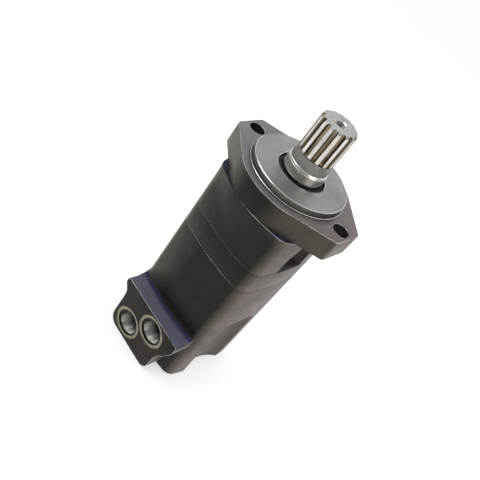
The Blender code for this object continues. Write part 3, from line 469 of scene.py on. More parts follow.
def lathe(name, profile, steps=128, surface=None, marks=(), closed=False):
    """Turn (radius, z) points round Z; marks are (first, last, material) runs of profile edges."""
    mesh = bpy.data.meshes.new(name)
    work = bmesh.new()
    columns = []
    for i in range(steps):
        a = 2 * math.pi * i / steps
        columns.append((math.cos(a), math.sin(a)))
    rows = []
    for r, z in profile:
        if r == 0:
            rows.append([work.verts.new((0, 0, z))] * steps)
        else:
            rows.append([work.verts.new((r * c, r * s, z)) for c, s in columns])
    surfaces = [surface]
    for mark in marks:
        if mark[2] not in surfaces:
            surfaces.append(mark[2])
    edges = len(rows) if closed else len(rows) - 1
    for k in range(edges):
        index = 0
        for first, last, material in marks:
            if first <= k <= last:
                index = surfaces.index(material)
        lower, upper = rows[k], rows[(k + 1) % len(rows)]
        for i in range(steps):
            j = (i + 1) % steps
            corners = []
            for vert in (lower[i], lower[j], upper[j], upper[i]):
                if vert not in corners:
                    corners.append(vert)
            face = work.faces.new(corners)
            face.material_index = index
    bmesh.ops.recalc_face_normals(work, faces=work.faces)
    work.to_mesh(mesh)
    work.free()
    return new_object(name, mesh, surfaces)


def inset(outline, distance):
    """Move a counter-clockwise outline inwards by a small distance."""
    moved = []
    for i, point in enumerate(outline):
        before = Vector(outline[i - 1])
        after = Vector(outline[(i + 1) % len(outline)])
        here = Vector(point)
        first = (here - before).normalized()
        second = (after - here).normalized()
        inward = Vector((-(first.y + second.y), first.x + second.x)).normalized()
        cosine = max(0.5, inward.dot(Vector((-first.y, first.x))))
        moved.append(tuple(here + inward * (distance / cosine)))
    return moved


def prism(name, outline, low, high, side, cap=None, edges=(None, None), rim=(0.0, 0.0)):
    """Extrude an outline along Z; rim rounds the low and high edges, which take the edge materials."""
    surfaces = []
    for surface in (side, cap, *edges):
        if surface and surface not in surfaces:
            surfaces.append(surface)
    side_index, cap_index, low_index, high_index = (surfaces.index(surface or side)
                                                    for surface in (side, cap, *edges))
    mesh = bpy.data.meshes.new(name)
    work = bmesh.new()
    bottom, top = rim
    levels = []
    if bottom:
        levels += [(bottom * (1 - math.sin(a)), low + bottom * (1 - math.cos(a)))
                   for a in (0.0, math.pi / 6, math.pi / 3, math.pi / 2)]
    else:
        levels.append((0.0, low))
    side_level = len(levels) - 1
    if top:
        levels += [(top * (1 - math.cos(a)), high - top * (1 - math.sin(a)))
                   for a in (0.0, math.pi / 6, math.pi / 3, math.pi / 2)]
    else:
        levels.append((0.0, high))
    rows = []
    for distance, z in levels:
        points = inset(outline, distance) if distance else outline
        rows.append([work.verts.new((x, y, z)) for x, y in points])
    count = len(outline)
    for k in range(len(rows) - 1):
        for i in range(count):
            j = (i + 1) % count
            face = work.faces.new((rows[k][i], rows[k][j], rows[k + 1][j], rows[k + 1][i]))
            face.material_index = (side_index if k == side_level else
                                   low_index if k < side_level else high_index)
    for row in (list(reversed(rows[0])), rows[-1]):
        work.faces.new(row).material_index = cap_index
    work.to_mesh(mesh)
    work.free()
    return new_object(name, mesh, surfaces)


def boolean(obj, other, operation="DIFFERENCE"):
    """Cut or join another form, which is used up."""
    step = obj.modifiers.new(operation, "BOOLEAN")
    step.operation = operation
    step.solver = "EXACT"
    step.material_mode = "TRANSFER"
    step.object = other
    return obj


def place(obj, location=(0, 0, 0), rotation=(0, 0, 0)):
    obj.location = location
    obj.rotation_euler = rotation
    return obj


def settle(obj, angle=32.0):
    """Apply the modifiers, drop the used forms, clean slivers and set sharp edges."""
    bpy.context.view_layer.update()
    graph = bpy.context.evaluated_depsgraph_get()
    mesh = bpy.data.meshes.new_from_object(obj.evaluated_get(graph))
    forms = [step.object for step in obj.modifiers if step.type == "BOOLEAN"]
    obj.modifiers.clear()
    obj.data = mesh
    mesh.name = obj.name
    for form in forms:
        bpy.data.objects.remove(form, do_unlink=True)
    work = bmesh.new()
    work.from_mesh(mesh)
    bmesh.ops.remove_doubles(work, verts=work.verts, dist=0.00001)
    bmesh.ops.dissolve_degenerate(work, edges=work.edges, dist=0.00001)
    work.to_mesh(mesh)
    work.free()
    mesh.shade_smooth()
    mesh.set_sharp_from_angle(angle=math.radians(angle))
    return obj


def stand_for(obj, body, material_slot, *nodes):
    """Ride on a body and replace CAD nodes."""
    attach(obj, body)
    if nodes:
        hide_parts(*nodes)
    return obj


# ---- outlines ------------------------------------------------------------------------
def body_outline(side_points=21, corner_points=15):
    """Rounded square with slightly bulged sides, as the CAD has it."""
    bulge = SIDE_RADIUS - HALF_WIDTH
    reach = SIDE_RADIUS - CORNER_RADIUS
    centre = (math.sqrt(2 * reach ** 2 - bulge ** 2) - bulge) / 2
    half_angle = math.degrees(math.atan2(centre, centre + bulge))
    outline = []
    for quarter in range(4):
        side = arc((-bulge, 0.0), SIDE_RADIUS, -half_angle, half_angle, side_points)
        corner = arc((centre, centre), CORNER_RADIUS, half_angle, 90 - half_angle, corner_points)
        outline += [turn(p, 90 * quarter) for p in side + corner[1:-1]]
    return outline


def flange_outline():
    """Round flange with two ears: tangent straight sides, flat ends, rounded corners."""
    centre = (EAR_END_X - EAR_CORNER_RADIUS, EAR_HALF_WIDTH - EAR_CORNER_RADIUS)
    distance = math.hypot(*centre)
    lean = math.degrees(math.acos((FLANGE_RADIUS - EAR_CORNER_RADIUS) / distance))
    tangent = math.degrees(math.atan2(centre[1], centre[0])) + lean
    ear = arc(centre, EAR_CORNER_RADIUS, 0.0, tangent, 12)
    waist = arc((0, 0), FLANGE_RADIUS, tangent, 180 - tangent, 41)
    half = ear + waist + [(-x, y) for x, y in reversed(ear)]
    return half + [(-x, -y) for x, y in half]


def boss_outline():
    """Port boss in x and z: wide at the top, cut away on the right of the ports."""
    points = arc((17.0, 8.5), 8.5, -90, -8, 10)
    points += [(25.9, 22.0), (26.6, 26.0), (28.4, 30.0), (31.5, 34.0), (34.0, 38.6), (36.2, 43.6)]
    points += arc((33.5, 48.0), 4.0, -20, 0, 3) + arc((35.7, 54.2), 1.8, 0, 90, 6)
    points += arc((-37.0, 53.0), 3.0, 90, 180, 7) + arc((-36.0, 50.8), 4.0, 180, 224, 5)
    points += [(-36.6, 45.4), (-35.1, 43.2), (-34.3, 40.6), (-34.0, 37.0)]
    points += arc((-23.0, 11.0), 11.0, 180, 270, 12)
    return [(x * MM, z * MM) for x, z in points]


def screw_places():
    """Centres of the four cap screws."""
    return [turn((SCREW_CIRCLE, 0.0), 45 + 90 * i) for i in range(4)]


# ---- bearing housing -------------------------------------------------------------------
def pilot_form():
    """Raised round pilot with a bright chamfer and a stepped foot."""
    top = from_face(0) + PILOT_HEIGHT
    step = from_face(0) + PILOT_STEP_HEIGHT
    profile = [(0, top), (PILOT_RADIUS - 0.55 * MM, top), (PILOT_RADIUS, top - 0.55 * MM),
               (PILOT_RADIUS, step + 0.6 * MM), (PILOT_RADIUS - 0.35 * MM, step + 0.5 * MM),
               (PILOT_RADIUS - 0.35 * MM, step), (PILOT_STEP_RADIUS - 0.35 * MM, step),
               (PILOT_STEP_RADIUS, step - 0.35 * MM), (PILOT_STEP_RADIUS, from_face(-2)), (0, from_face(-2))]
    return lathe("pilot_form", profile, 160, TURNED,
                 marks=((1, 1, BRIGHT), (2, 5, PILOT_WALL), (6, 6, BRIGHT), (7, 8, PILOT_WALL)))


def housing_bore():
    """Everything turned inside the bearing housing, with a chamfered mouth."""
    rear = ring_high.z - 2 * MM
    top = from_face(0) + PILOT_HEIGHT
    profile = [(0, top + 2 * MM), (22.3 * MM, top + 1 * MM), (20.8 * MM, top - 0.5 * MM),
               (20.8 * MM, from_face(-0.5)), (18.2 * MM, from_face(-0.5)), (18.2 * MM, from_face(-1.5)),
               (25.3 * MM, from_face(-1.5)), (25.3 * MM, from_face(-14)), (31.3 * MM, from_face(-14)),
               (31.3 * MM, rear), (0, rear)]
    return lathe("housing_bore", profile, 96, DRILLED, marks=((1, 1, BRIGHT),))


def scallop(side):
    """Room for the mounting bolt behind an ear, with a rounded top corner."""
    top = from_face(0) - FLANGE_THICKNESS
    radius = EAR_SCALLOP_RADIUS
    corner = 2.5 * MM
    profile = [(0, top)]
    profile += [(radius - corner * (1 - math.sin(a)), top - corner * (1 - math.cos(a)))
                for a in (math.pi * i / 12 for i in range(7))]
    profile += [(radius, ring_high.z - 3 * MM), (0, ring_high.z - 3 * MM)]
    # The scallop walls take the darker port paint: painted shade for the shadowed pocket behind the ear.
    return place(lathe("scallop_form", profile, 72, PORT_PAINT), (side * MOUNT_HOLE_X, 0, 0))


def mount_hole(side):
    """Bolt hole through an ear, chamfered at both ends."""
    top, low = from_face(0), from_face(0) - FLANGE_THICKNESS
    r = MOUNT_HOLE_RADIUS
    profile = [(0, top + 2 * MM), (r + 2.5 * MM, top + 2 * MM), (r, top - 0.5 * MM), (r, low + 0.5 * MM),
               (r + 2.5 * MM, low - 2 * MM), (0, low - 2 * MM)]
    return place(lathe("mount_hole_form", profile, 56, DRILLED, marks=((1, 1, PAINTED_EDGE),)),
                 (side * MOUNT_HOLE_X, 0, 0))


def smooth_max(a, b, blend):
    """The larger of two lengths, with a soft change over from one to the other."""
    overlap = max(blend - abs(a - b), 0.0)
    return max(a, b) + overlap * overlap / (4 * blend)


def barrel_form(rear, back):
    """Square barrel that swells softly into a round waist under the flange."""
    outline = body_outline(31, 17)
    steps = 18
    levels = [(0.25 * MM * (1 - math.sin(a)), rear + 0.25 * MM * (1 - math.cos(a)), 0.0)
              for a in (0.0, math.pi / 6, math.pi / 3)]
    levels += [(0.0, rear + 0.25 * MM + (back - rear) * i / steps, i / steps) for i in range(steps + 1)]
    levels += [(0.1 * MM, back + 0.4 * MM, 1.0), (0.4 * MM, back + 0.5 * MM, 1.0)]
    work = bmesh.new()
    rows = []
    for distance, z, rise in levels:
        cone = HALF_WIDTH - 3 * MM + (FLANGE_RADIUS - HALF_WIDTH + 1.8 * MM) * rise
        row = []
        for point in outline:
            length = math.hypot(*point)
            reach = smooth_max(length, cone, 11 * MM * rise + 0.01 * MM) - distance
            row.append(work.verts.new((point[0] * reach / length, point[1] * reach / length, z)))
        rows.append(row)
    for k, (lower, upper) in enumerate(zip(rows, rows[1:])):
        for i in range(len(outline)):
            j = (i + 1) % len(outline)
            face = work.faces.new((lower[i], lower[j], upper[j], upper[i]))
            face.material_index = 1 if k < 3 else 2 if k > steps + 2 else 0
    work.faces.new(list(reversed(rows[0])))
    work.faces.new(rows[-1]).material_index = 3
    mesh = bpy.data.meshes.new("barrel_form")
    work.to_mesh(mesh)
    work.free()
    return new_object("barrel_form", mesh, [PAINT, FAINT_SEAM, LEDGE_RIM, LEDGE])


def bearing_housing():
    """The front casting: eared flange, pilot and the square barrel."""
    back = from_face(0) - FLANGE_THICKNESS
    housing = prism("front_housing", flange_outline(), back, FACE_Z, PAINT, PAINT, (LEDGE_RIM, PAINTED_EDGE),
                    (0.3 * MM, EDGE))
    for polygon in housing.data.polygons:
        if polygon.normal.z > 0.9 and polygon.center.z > FACE_Z - 0.01 * MM:
            polygon.material_index = len(housing.data.materials)
    housing.data.materials.append(FLANGE_FACE)
    for form in (barrel_form(housing_low.z, back), pilot_form()):
        boolean(housing, form, "UNION")
    for side in (-1, 1):
        boolean(housing, scallop(side))
        boolean(housing, mount_hole(side))
    boolean(housing, housing_bore())
    settle(housing)
    return stand_for(housing, CASE, "painted_casting", "bearing_housing")


# ---- geroler ring -----------------------------------------------------------------------
def geroler_ring():
    """The ring's outside with crisp bright edges at both seams; its bore stays plain."""
    ring = prism("ring_section", body_outline(), ring_low.z, ring_high.z, PAINT, SATIN,
                 (CLEAR_SEAM, FAINT_SEAM), (0.25 * MM, 0.15 * MM))
    pocket = 5.3 * MM
    circle_radius = 25.5 * MM
    bore = 25.6 * MM
    boolean(ring, lathe("ring_bore", [(0, ring_high.z + MM), (bore, ring_high.z + MM),
                                      (bore, ring_low.z - MM), (0, ring_low.z - MM)], 96, GROUND))
    for number in range(7):
        x, y = turn((circle_radius, 0.0), 360.0 * number / 7)
        boolean(ring, place(lathe("pocket_form", [(0, ring_high.z + MM), (pocket, ring_high.z + MM),
                                                  (pocket, ring_low.z - MM), (0, ring_low.z - MM)], 40,
                                  GROUND), (x, y, 0)))
    hole = [(0, ring_high.z + MM), (SCREW_RADIUS + GAP, ring_high.z + MM),
            (SCREW_RADIUS + GAP, ring_low.z - MM), (0, ring_low.z - MM)]
    for x, y in screw_places():
        boolean(ring, place(lathe("ring_screw_hole", hole, 32, DRILLED), (x, y, 0)))
    settle(ring)
    return stand_for(ring, CASE, "painted_ring", "geroler_ring")


# ---- valve housing ------------------------------------------------------------------------
def upright(obj):
    """Stand a prism drawn in x and z upright, its extrusion along -Y."""
    obj.data.transform(Matrix.Rotation(math.pi / 2, 4, "X"))
    return obj


def boss_fillet():
    """Cast blend between the top of the port boss and the body, following the body's outline."""
    radius = 8.0 * MM
    outline = body_outline()
    levels = [(radius, BOSS_TOP_Z - 3 * MM)]
    levels += [(radius * (1 - math.sin(a)), BOSS_TOP_Z + radius * (1 - math.cos(a)))
               for a in (math.pi * i / 24 for i in range(13))]
    levels.append((-0.5 * MM, BOSS_TOP_Z + radius + 0.5 * MM))
    work = bmesh.new()
    rows = [[work.verts.new((x, y, z)) for x, y in inset(outline, -reach)] for reach, z in levels]
    for lower, upper in zip(rows, rows[1:]):
        for i in range(len(outline)):
            j = (i + 1) % len(outline)
            work.faces.new((lower[i], lower[j], upper[j], upper[i]))
    work.faces.new(list(reversed(rows[0])))
    work.faces.new(rows[-1])
    mesh = bpy.data.meshes.new("fillet_form")
    work.to_mesh(mesh)
    work.free()
    form = new_object("fillet_form", mesh, [PAINT])
    left, right = -39.6 * MM, 37.2 * MM
    low, high = BOSS_TOP_Z - 4 * MM, BOSS_TOP_Z + 9 * MM
    keep = upright(prism("fillet_keep", [(left, low), (right, low), (right, high), (left, high)],
                         20 * MM, -PORT_FACE_Y - 1 * MM, PAINT))
    boolean(form, keep, "INTERSECT")
    return settle(form)


def scoop(x, y):
    """Long hollow between the screw lugs that fades out at its top."""
    radius, depth, top = 40 * MM, 8 * MM, 79 * MM
    profile = [(0, top)]
    profile += [(radius - depth + depth * math.sin(a), top - 10 * MM * (1 - math.cos(a)))
                for a in (math.pi * i / 20 for i in range(11))]
    profile += [(radius, -MM), (0, -MM)]
    return place(lathe("scoop_form", profile, 160, PAINT), (x, y, 0))


def port_form(x, z):
    """Stepped port: spotface, entry chamfer, seat for the thread, drilled bottom."""
    face = -PORT_FACE_Y
    r = PORT_BORE_RADIUS + 0.5 * MM
    profile = [(0, face + 2 * MM), (PORT_SPOTFACE_RADIUS + 0.15 * MM, face + 2 * MM),
               (PORT_SPOTFACE_RADIUS, face - 0.6 * MM), (12.6 * MM, face - 0.6 * MM), (r, face - 1.6 * MM),
               (r, face - PORT_DEPTH), (8.5 * MM, face - PORT_DEPTH), (0, face - PORT_DEPTH - 3 * MM)]
    form = lathe("port_form", profile, 96, SPOTFACE, marks=((3, 3, THREAD), (4, 7, DRILLED)))
    return place(form, (x, 0, z), (math.pi / 2, 0, 0))


def bore(name, radius, low, high, surface, location=(0, 0, 0), along_y=False, steps=40):
    """Plain cylindrical cutter, along Z or from low to high along +Y."""
    form = lathe(name, [(0, high), (radius, high), (radius, low), (0, low)], steps, surface)
    return place(form, location, (-math.pi / 2, 0, 0) if along_y else (0, 0, 0))


def valve_housing():
    """The rear casting with its port boss, lugs, seats and cavity."""
    front = valve_high.z
    housing = prism("rear_housing", body_outline(), 0.0, front, PAINT, PAINT, (PAINT, FAINT_SEAM),
                    (1.0 * MM, 0.15 * MM))
    boss = upright(prism("boss_form", boss_outline(), 20 * MM, -PORT_FACE_Y, PAINT, PORT_PAINT,
                         (PAINT, PAINTED_EDGE), (0.0, 0.35 * MM)))
    boolean(housing, boss, "UNION")
    boolean(housing, boss_fillet(), "UNION")
    reach = HALF_WIDTH + 32 * MM
    for x, y in ((reach, 0), (-reach, 0), (0, reach)):
        boolean(housing, scoop(x, y))
    flat = prism("flat_form", [(-17 * MM, -6 * MM), (17 * MM, -6 * MM), (17 * MM, 0), (-17 * MM, 0)],
                 66 * MM, 126 * MM, PAINT)
    boolean(housing, place(flat, (-22.1 * MM, -42.3 * MM, 0), (0, 0, math.radians(-7.5))))
    cavity = lathe("cavity_form", [(0, front + MM), (36 * MM, front + MM), (36 * MM, from_face(-95.1)),
                                   (33 * MM, from_face(-95.1)), (33 * MM, from_face(-130)),
                                   (25.4 * MM, from_face(-130)), (25.4 * MM, from_face(-137)),
                                   (0, from_face(-137))], 96, DRILLED)
    boolean(housing, cavity)
    for (x, z), (drop_x, drop_y, drop_r), start in zip(
            PORTS, ((-15.5, -25.0, 4.2), (5.0, -3.0, 4.5)), (-130, -137)):
        boolean(housing, port_form(x, z))
        boolean(housing, bore("cross_form", 6 * MM, PORT_FACE_Y + 20 * MM, drop_y * MM,
                              DRILLED, (x, 0, z), True))
        boolean(housing, bore("down_form", drop_r * MM, z, from_face(start) + MM, DRILLED,
                              (drop_x * MM, drop_y * MM, 0)))
    for x, y in screw_places():
        boolean(housing, bore("screw_form", SCREW_RADIUS + GAP, -MM, front + MM, DRILLED, (x, y, 0)))
        seat = lathe("seat_form", [(0, SCREW_SEAT_Z), (SCREW_HEAD_RADIUS + GAP, SCREW_SEAT_Z),
                                   (SCREW_HEAD_RADIUS + GAP, 0.5 * MM),
                                   (SCREW_HEAD_RADIUS + 1.5 * MM, -0.7 * MM),
                                   (0, -0.7 * MM)], 64, SPOTFACE, marks=((2, 2, PAINTED_EDGE),))
        boolean(housing, place(seat, (x, y, 0)))
    spot = lathe("drain_seat", [(0, 50 * MM), (9.2 * MM, 50 * MM), (9.2 * MM, 42.6 * MM), (0, 42.6 * MM)], 64,
                 SPOTFACE)
    boolean(housing, place(spot, (0, 0, DRAIN_Z), (-math.pi / 2, 0, 0)))
    boolean(housing, bore("drain_form", 5 * MM, 34.5 * MM, 50 * MM, DRILLED, (0, 0, DRAIN_Z), True))
    settle(housing)
    return stand_for(housing, CASE, "painted_casting", "valve_housing")


def thread_sleeve(name, radius, depth, pitch, low, high, outer):
    """A cut thread: its inside is a helical ridge, its outside a plain tube."""
    around, per_turn = 96, 8
    rows = int((high - low) / pitch * per_turn) + 1
    work = bmesh.new()
    inner_rows, outer_rows = [], []
    for k in range(rows + 1):
        z = low + (high - low) * k / rows
        inner_row, outer_row = [], []
        for i in range(around):
            a = 2 * math.pi * i / around
            phase = (z / pitch - i / around) % 1.0
            ridge = 1 - abs(2 * phase - 1)
            r = radius + depth * min(1.0, max(0.0, 1.35 * ridge - 0.12))
            inner_row.append(work.verts.new((r * math.cos(a), r * math.sin(a), z)))
            outer_row.append(work.verts.new((outer * math.cos(a), outer * math.sin(a), z)))
        inner_rows.append(inner_row)
        outer_rows.append(outer_row)
    for i in range(around):
        j = (i + 1) % around
        for k in range(rows):
            work.faces.new((inner_rows[k][j], inner_rows[k][i], inner_rows[k + 1][i], inner_rows[k + 1][j]))
        work.faces.new((outer_rows[0][i], outer_rows[0][j], outer_rows[-1][j], outer_rows[-1][i]))
        work.faces.new((inner_rows[0][i], inner_rows[0][j], outer_rows[0][j], outer_rows[0][i]))
        work.faces.new((outer_rows[-1][i], outer_rows[-1][j], inner_rows[-1][j], inner_rows[-1][i]))
    for row in outer_rows[1:-1]:
        bmesh.ops.delete(work, geom=row, context="VERTS")
    bmesh.ops.recalc_face_normals(work, faces=work.faces)
    mesh = bpy.data.meshes.new(name)
    work.to_mesh(mesh)
    work.free()
    mesh.shade_smooth()
    mesh.set_sharp_from_angle(angle=math.radians(50))
    return new_object(name, mesh, [THREAD])


def port_threads():
    """Straight threads of both ports, 14 to the inch."""
    face = -PORT_FACE_Y
    for name, (x, z) in zip(("port_a_thread", "port_b_thread"), PORTS):
        sleeve = thread_sleeve(name, PORT_BORE_RADIUS - 0.75 * MM, 0.95 * MM, 1.814 * MM,
                               face - PORT_DEPTH + 2 * MM, face - 1.7 * MM, PORT_BORE_RADIUS + 0.45 * MM)
        place(sleeve, (x, 0, z), (math.pi / 2, 0, 0))
        stand_for(sleeve, CASE, "painted_casting")


# ---- shaft --------------------------------------------------------------------------------
def groove_form(number):
    """One spline groove: sloping flanks, flat root, and a run-out at its lower end."""
    top = shaft_high.z + 2 * MM
    root, tip = 13.3 * MM, 15.45 * MM
    half_root, half_tip = 1.06 * MM, 2.12 * MM
    over = 2.5 * MM
    slope = (half_tip - half_root) / (tip - root)
    half_over = half_tip + slope * over
    work = bmesh.new()
    rows = []
    run_out = 3.2 * MM
    heights = [(SPLINE_LOW - 0.6 * MM + run_out * (1 - math.cos(a)),
                (tip - root + 0.6 * MM) * (1 - math.sin(a))) for a in (math.pi * i / 14 for i in range(8))]
    heights.append((top, 0.0))
    for z, lift in heights:
        low = root + lift
        half_low = half_root + slope * lift
        rows.append([work.verts.new(point) for point in
                     ((low, -half_low, z), (tip + over, -half_over, z), (tip + over, half_over, z),
                      (low, half_low, z))])
    for lower, upper in zip(rows, rows[1:]):
        for i in range(4):
            work.faces.new((lower[i], lower[(i + 1) % 4], upper[(i + 1) % 4], upper[i]))
    work.faces.new(list(reversed(rows[0])))
    work.faces.new(rows[-1])
    bmesh.ops.recalc_face_normals(work, faces=work.faces)
    mesh = bpy.data.meshes.new("groove_form")
    work.to_mesh(mesh)
    work.free()
    return place(new_object("groove_form", mesh, [GROOVE]),
                 rotation=(0, 0, 2 * math.pi * (number + 0.5) / SPLINE_TEETH))


def output_shaft():
    """Polished collar, satin neck and the hobbed 14-tooth spline."""
    top = shaft_high.z
    rear = shaft_low.z
    tip = 15.45 * MM
    journal = 17.5 * MM
    profile = [(0, top), (tip - 1.5 * MM, top), (tip, top - 1.5 * MM), (tip, SPLINE_LOW + 0.3 * MM)]
    profile += [(15.75 * MM, from_face(22)), (16.1 * MM, from_face(17.6)), (16.15 * MM, from_face(16.6)),
                (16.6 * MM, from_face(16.2)), (16.75 * MM, from_face(15.9))]
    shoulder = arc((journal - 0.9 * MM, from_face(14.3)), 0.9 * MM, 60, 0, 6)
    profile += shoulder
    profile += [(journal, from_face(-33.3)), (22.5 * MM, from_face(-33.3)), (22.5 * MM, from_face(-37)),
                (journal, from_face(-37)), (journal, rear + MM), (journal - MM, rear), (0, rear)]
    shaft = lathe("splined_shaft", profile, 168, GROUND,
                  marks=((0, 1, SHAFT_END), (3, 5, SATIN), (6, 7, BRIGHT)))
    for number in range(SPLINE_TEETH):
        boolean(shaft, groove_form(number))
    mouth = lathe("centre_form", [(0, top + MM), (6.6 * MM, top + MM), (4.9 * MM, top - 0.8 * MM),
                                  (4.9 * MM, top - 20 * MM), (0, top - 22 * MM)], 64, DRILLED,
                  marks=((1, 1, BRIGHT),))
    boolean(shaft, mouth)
    boolean(shaft, bore("socket_form", 12.4 * MM, rear - MM, from_face(-10), DRILLED, steps=72))
    settle(shaft, 24.0)
    stand_for(shaft, "shaft", "ground_shaft", "output_shaft")
    thread = thread_sleeve("shaft_end_thread", 3.75 * MM, 0.75 * MM, 1.25 * MM,
                           top - 19 * MM, top - 0.9 * MM, 4.85 * MM)
    stand_for(thread, "shaft", "ground_shaft")


def dust_seal():
    """Rubber wiper between the shaft and the pilot bore, with a raised lip."""
    low = seal_low.z
    profile = [(17.65 * MM, low + 4.7 * MM), (18.0 * MM, low + 5.0 * MM), (18.5 * MM, low + 4.6 * MM),
               (18.9 * MM, low + 4.1 * MM), (20.2 * MM, low + 4.1 * MM), (20.45 * MM, low + 3.8 * MM),
               (20.45 * MM, low), (18.7 * MM, low), (18.7 * MM, low + 2.6 * MM)]
    seal = lathe("shaft_wiper", profile, 128, RUBBER, closed=True)
    settle(seal)
    return stand_for(seal, CASE, "black_rubber", "dust_seal")


# ---- fasteners ------------------------------------------------------------------------------
def cap_screw(number):
    """Socket-head screw with a knurled head and a hexagon socket."""
    x, y = screw_places()[number - 1]
    root = screw_low.z
    seat = SCREW_SEAT_Z - 0.1 * MM
    knurl = []
    teeth = 60
    for i in range(teeth * 2):
        radius = SCREW_HEAD_RADIUS - (0.0 if i % 2 else 0.22 * MM)
        knurl.append((radius * math.cos(math.pi * i / teeth), radius * math.sin(math.pi * i / teeth)))
    head = prism(f"clamp_screw_{number}", knurl, root, seat, OXIDE, rim=(0.9 * MM, 0.5 * MM))
    shank = lathe("shank_form", [(0, screw_high.z), (SCREW_RADIUS - 0.8 * MM, screw_high.z),
                                 (SCREW_RADIUS, screw_high.z - 0.8 * MM), (SCREW_RADIUS, seat - MM),
                                 (0, seat - MM)], 40, OXIDE)
    boolean(head, shank, "UNION")
    hexagon = prism("hexagon_form", [turn((4.62 * MM, 0.0), 60 * i + 30) for i in range(6)],
                    root - MM, root + 5 * MM, OXIDE)
    boolean(head, hexagon)
    entry = lathe("entry_form", [(0, root + 0.9 * MM), (4.0 * MM, root + 0.9 * MM),
                                 (5.4 * MM, root - 0.5 * MM), (0, root - 0.5 * MM)], 48, OXIDE)
    boolean(head, entry)
    head.location = (x, y, 0)
    settle(head)
    return stand_for(head, CASE, "plated_screw", f"cap_screw_{number}")


def drain_plug():
    """Hexagon-socket plug with a chamfered flange."""
    profile = [(0, 45.9), (7.7, 45.9), (8.4, 45.2), (8.4, 43.3), (8.0, 42.9), (4.7, 42.9), (4.7, 37.6),
               (4.0, 36.8), (0, 36.8)]
    plug = lathe("case_drain_plug", [(r * MM, h * MM) for r, h in profile], 72, OXIDE)
    hexagon = prism("plug_hexagon", [turn((3.3 * MM, 0.0), 60 * i) for i in range(6)],
                    42 * MM, 47 * MM, OXIDE)
    boolean(plug, hexagon)
    entry = lathe("plug_entry", [(0, 46.2 * MM), (3.9 * MM, 46.2 * MM), (2.9 * MM, 45.3 * MM),
                                 (0, 45.3 * MM)], 48, OXIDE)
    boolean(plug, entry)
    settle(plug)
    place(plug, (0, 0, DRAIN_Z), (-math.pi / 2, 0, 0))
    return stand_for(plug, CASE, "plated_screw", "drain_plug")


# ---- pieces that keep their CAD shape ---------------------------------------------------------
def dress_cad_nodes():
    """Give every CAD node a material fit for what it is."""
    bearing = hidden_steel("bearing_steel", (0.50, 0.50, 0.50), (0.68, 0.68, 0.67), 0.22)
    hardened = hidden_steel("hardened_steel", (0.26, 0.25, 0.24), (0.44, 0.43, 0.42), 0.34)
    spring = hidden_steel("spring_steel", (0.24, 0.24, 0.26), (0.40, 0.40, 0.42), 0.36)
    polymer = moulded_rubber("seal_polymer", (0.03, 0.06, 0.035), (0.05, 0.10, 0.055))
    by_slot = {"painted_casting": PAINT, "painted_ring": PAINT, "ground_shaft": GROUND,
               "bearing_steel": bearing, "hardened_steel": hardened, "spring_steel": spring,
               "plated_screw": OXIDE, "black_rubber": RUBBER}
    slots = {part["node"]: part["material_slot"] for part in frame["record"]["subparts"]}
    for name, node in frame["nodes"].items():
        surface = polymer if name == "shaft_seal" else by_slot[slots[name]]
        for material_slot in node.material_slots:
            material_slot.link = "OBJECT"
            material_slot.material = surface


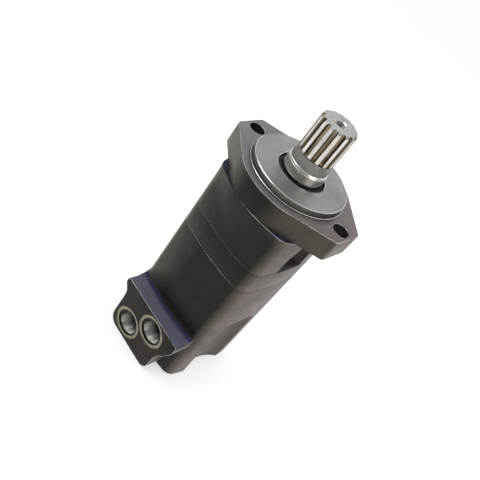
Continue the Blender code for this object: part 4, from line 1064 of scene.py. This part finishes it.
# ---- studio --------------------------------------------------------------------------------------
def studio():
    """Pale floor, a soft room and three soft lights."""
    bpy.context.scene.view_settings.view_transform = "Standard"
    mesh = bpy.data.meshes.new("floor")
    size = 30.0
    mesh.from_pydata([(-size, -size, 0), (size, -size, 0), (size, size, 0), (-size, size, 0)],
                     [], [(0, 1, 2, 3)])
    floor_surface = Surface("studio_floor", (0.90, 0.90, 0.90), 0.9)
    floor_surface.colour(floor_surface.ramp(floor_surface.noise(3.0, 2.0), [(0.3, 0.885), (0.7, 0.905)]))
    floor_surface.shader.inputs["Emission Color"].default_value = (1, 1, 1, 1)
    floor_surface.shader.inputs["Emission Strength"].default_value = 0.45
    floor = new_object("studio_floor", mesh, [floor_surface.material])
    floor.location.z = -0.0004

    world = bpy.data.worlds.new("studio_room")
    bpy.context.scene.world = world
    world.use_nodes = True
    nodes, links = world.node_tree.nodes, world.node_tree.links
    background = nodes["Background"]
    direction = nodes.new("ShaderNodeTexCoord").outputs["Generated"]
    split = nodes.new("ShaderNodeSeparateXYZ")
    links.new(direction, split.inputs[0])
    ramp = nodes.new("ShaderNodeMapRange")
    ramp.inputs["From Min"].default_value = -1.0
    ramp.inputs["From Max"].default_value = 0.6
    ramp.inputs["To Min"].default_value = 0.35
    ramp.inputs["To Max"].default_value = 0.70
    links.new(split.outputs["Y"], ramp.inputs["Value"])
    links.new(ramp.outputs["Result"], background.inputs["Strength"])
    background.inputs["Color"].default_value = (1.0, 1.0, 1.0, 1.0)

    def area(name, location, target, size, energy, colour=(1, 1, 1), size_y=None):
        light = bpy.data.lights.new(name, "AREA")
        light.shape = "RECTANGLE"
        light.size = size
        light.size_y = size_y or size
        light.energy = energy
        light.color = colour
        lamp = bpy.data.objects.new(name, light)
        bpy.context.scene.collection.objects.link(lamp)
        lamp.location = location
        lamp.rotation_euler = (Vector(target) - Vector(location)).to_track_quat("-Z", "Y").to_euler()
        return lamp

    area("key_light", (-0.55, -0.35, 1.15), (0, 0, 0.16), 0.9, 4.0, (0.96, 0.98, 1.0))
    area("right_light", (1.0, -0.15, 0.55), (0, 0, 0.12), 0.6, 3.0, (1.0, 0.95, 0.92))
    area("back_light", (-0.2, 1.1, 0.7), (0, 0, 0.15), 0.9, 1.5)


def camera():
    """Three-quarter view from above the port side, rolled as the motor lies in the frame."""
    data = bpy.data.cameras.new("camera")
    data.lens = 44.49
    data.sensor_width = 36.0
    obj = bpy.data.objects.new("camera", data)
    bpy.context.scene.collection.objects.link(obj)
    obj.location = (0.15336, -0.36595, 0.44313)
    obj.rotation_euler = [math.radians(a) for a in (45.147, -29.578, 49.559)]
    bpy.context.scene.camera = obj


dress_cad_nodes()
bearing_housing()
geroler_ring()
valve_housing()
port_threads()
output_shaft()
dust_seal()
for screw_number in range(1, 5):
    cap_screw(screw_number)
drain_plug()
studio()
camera()
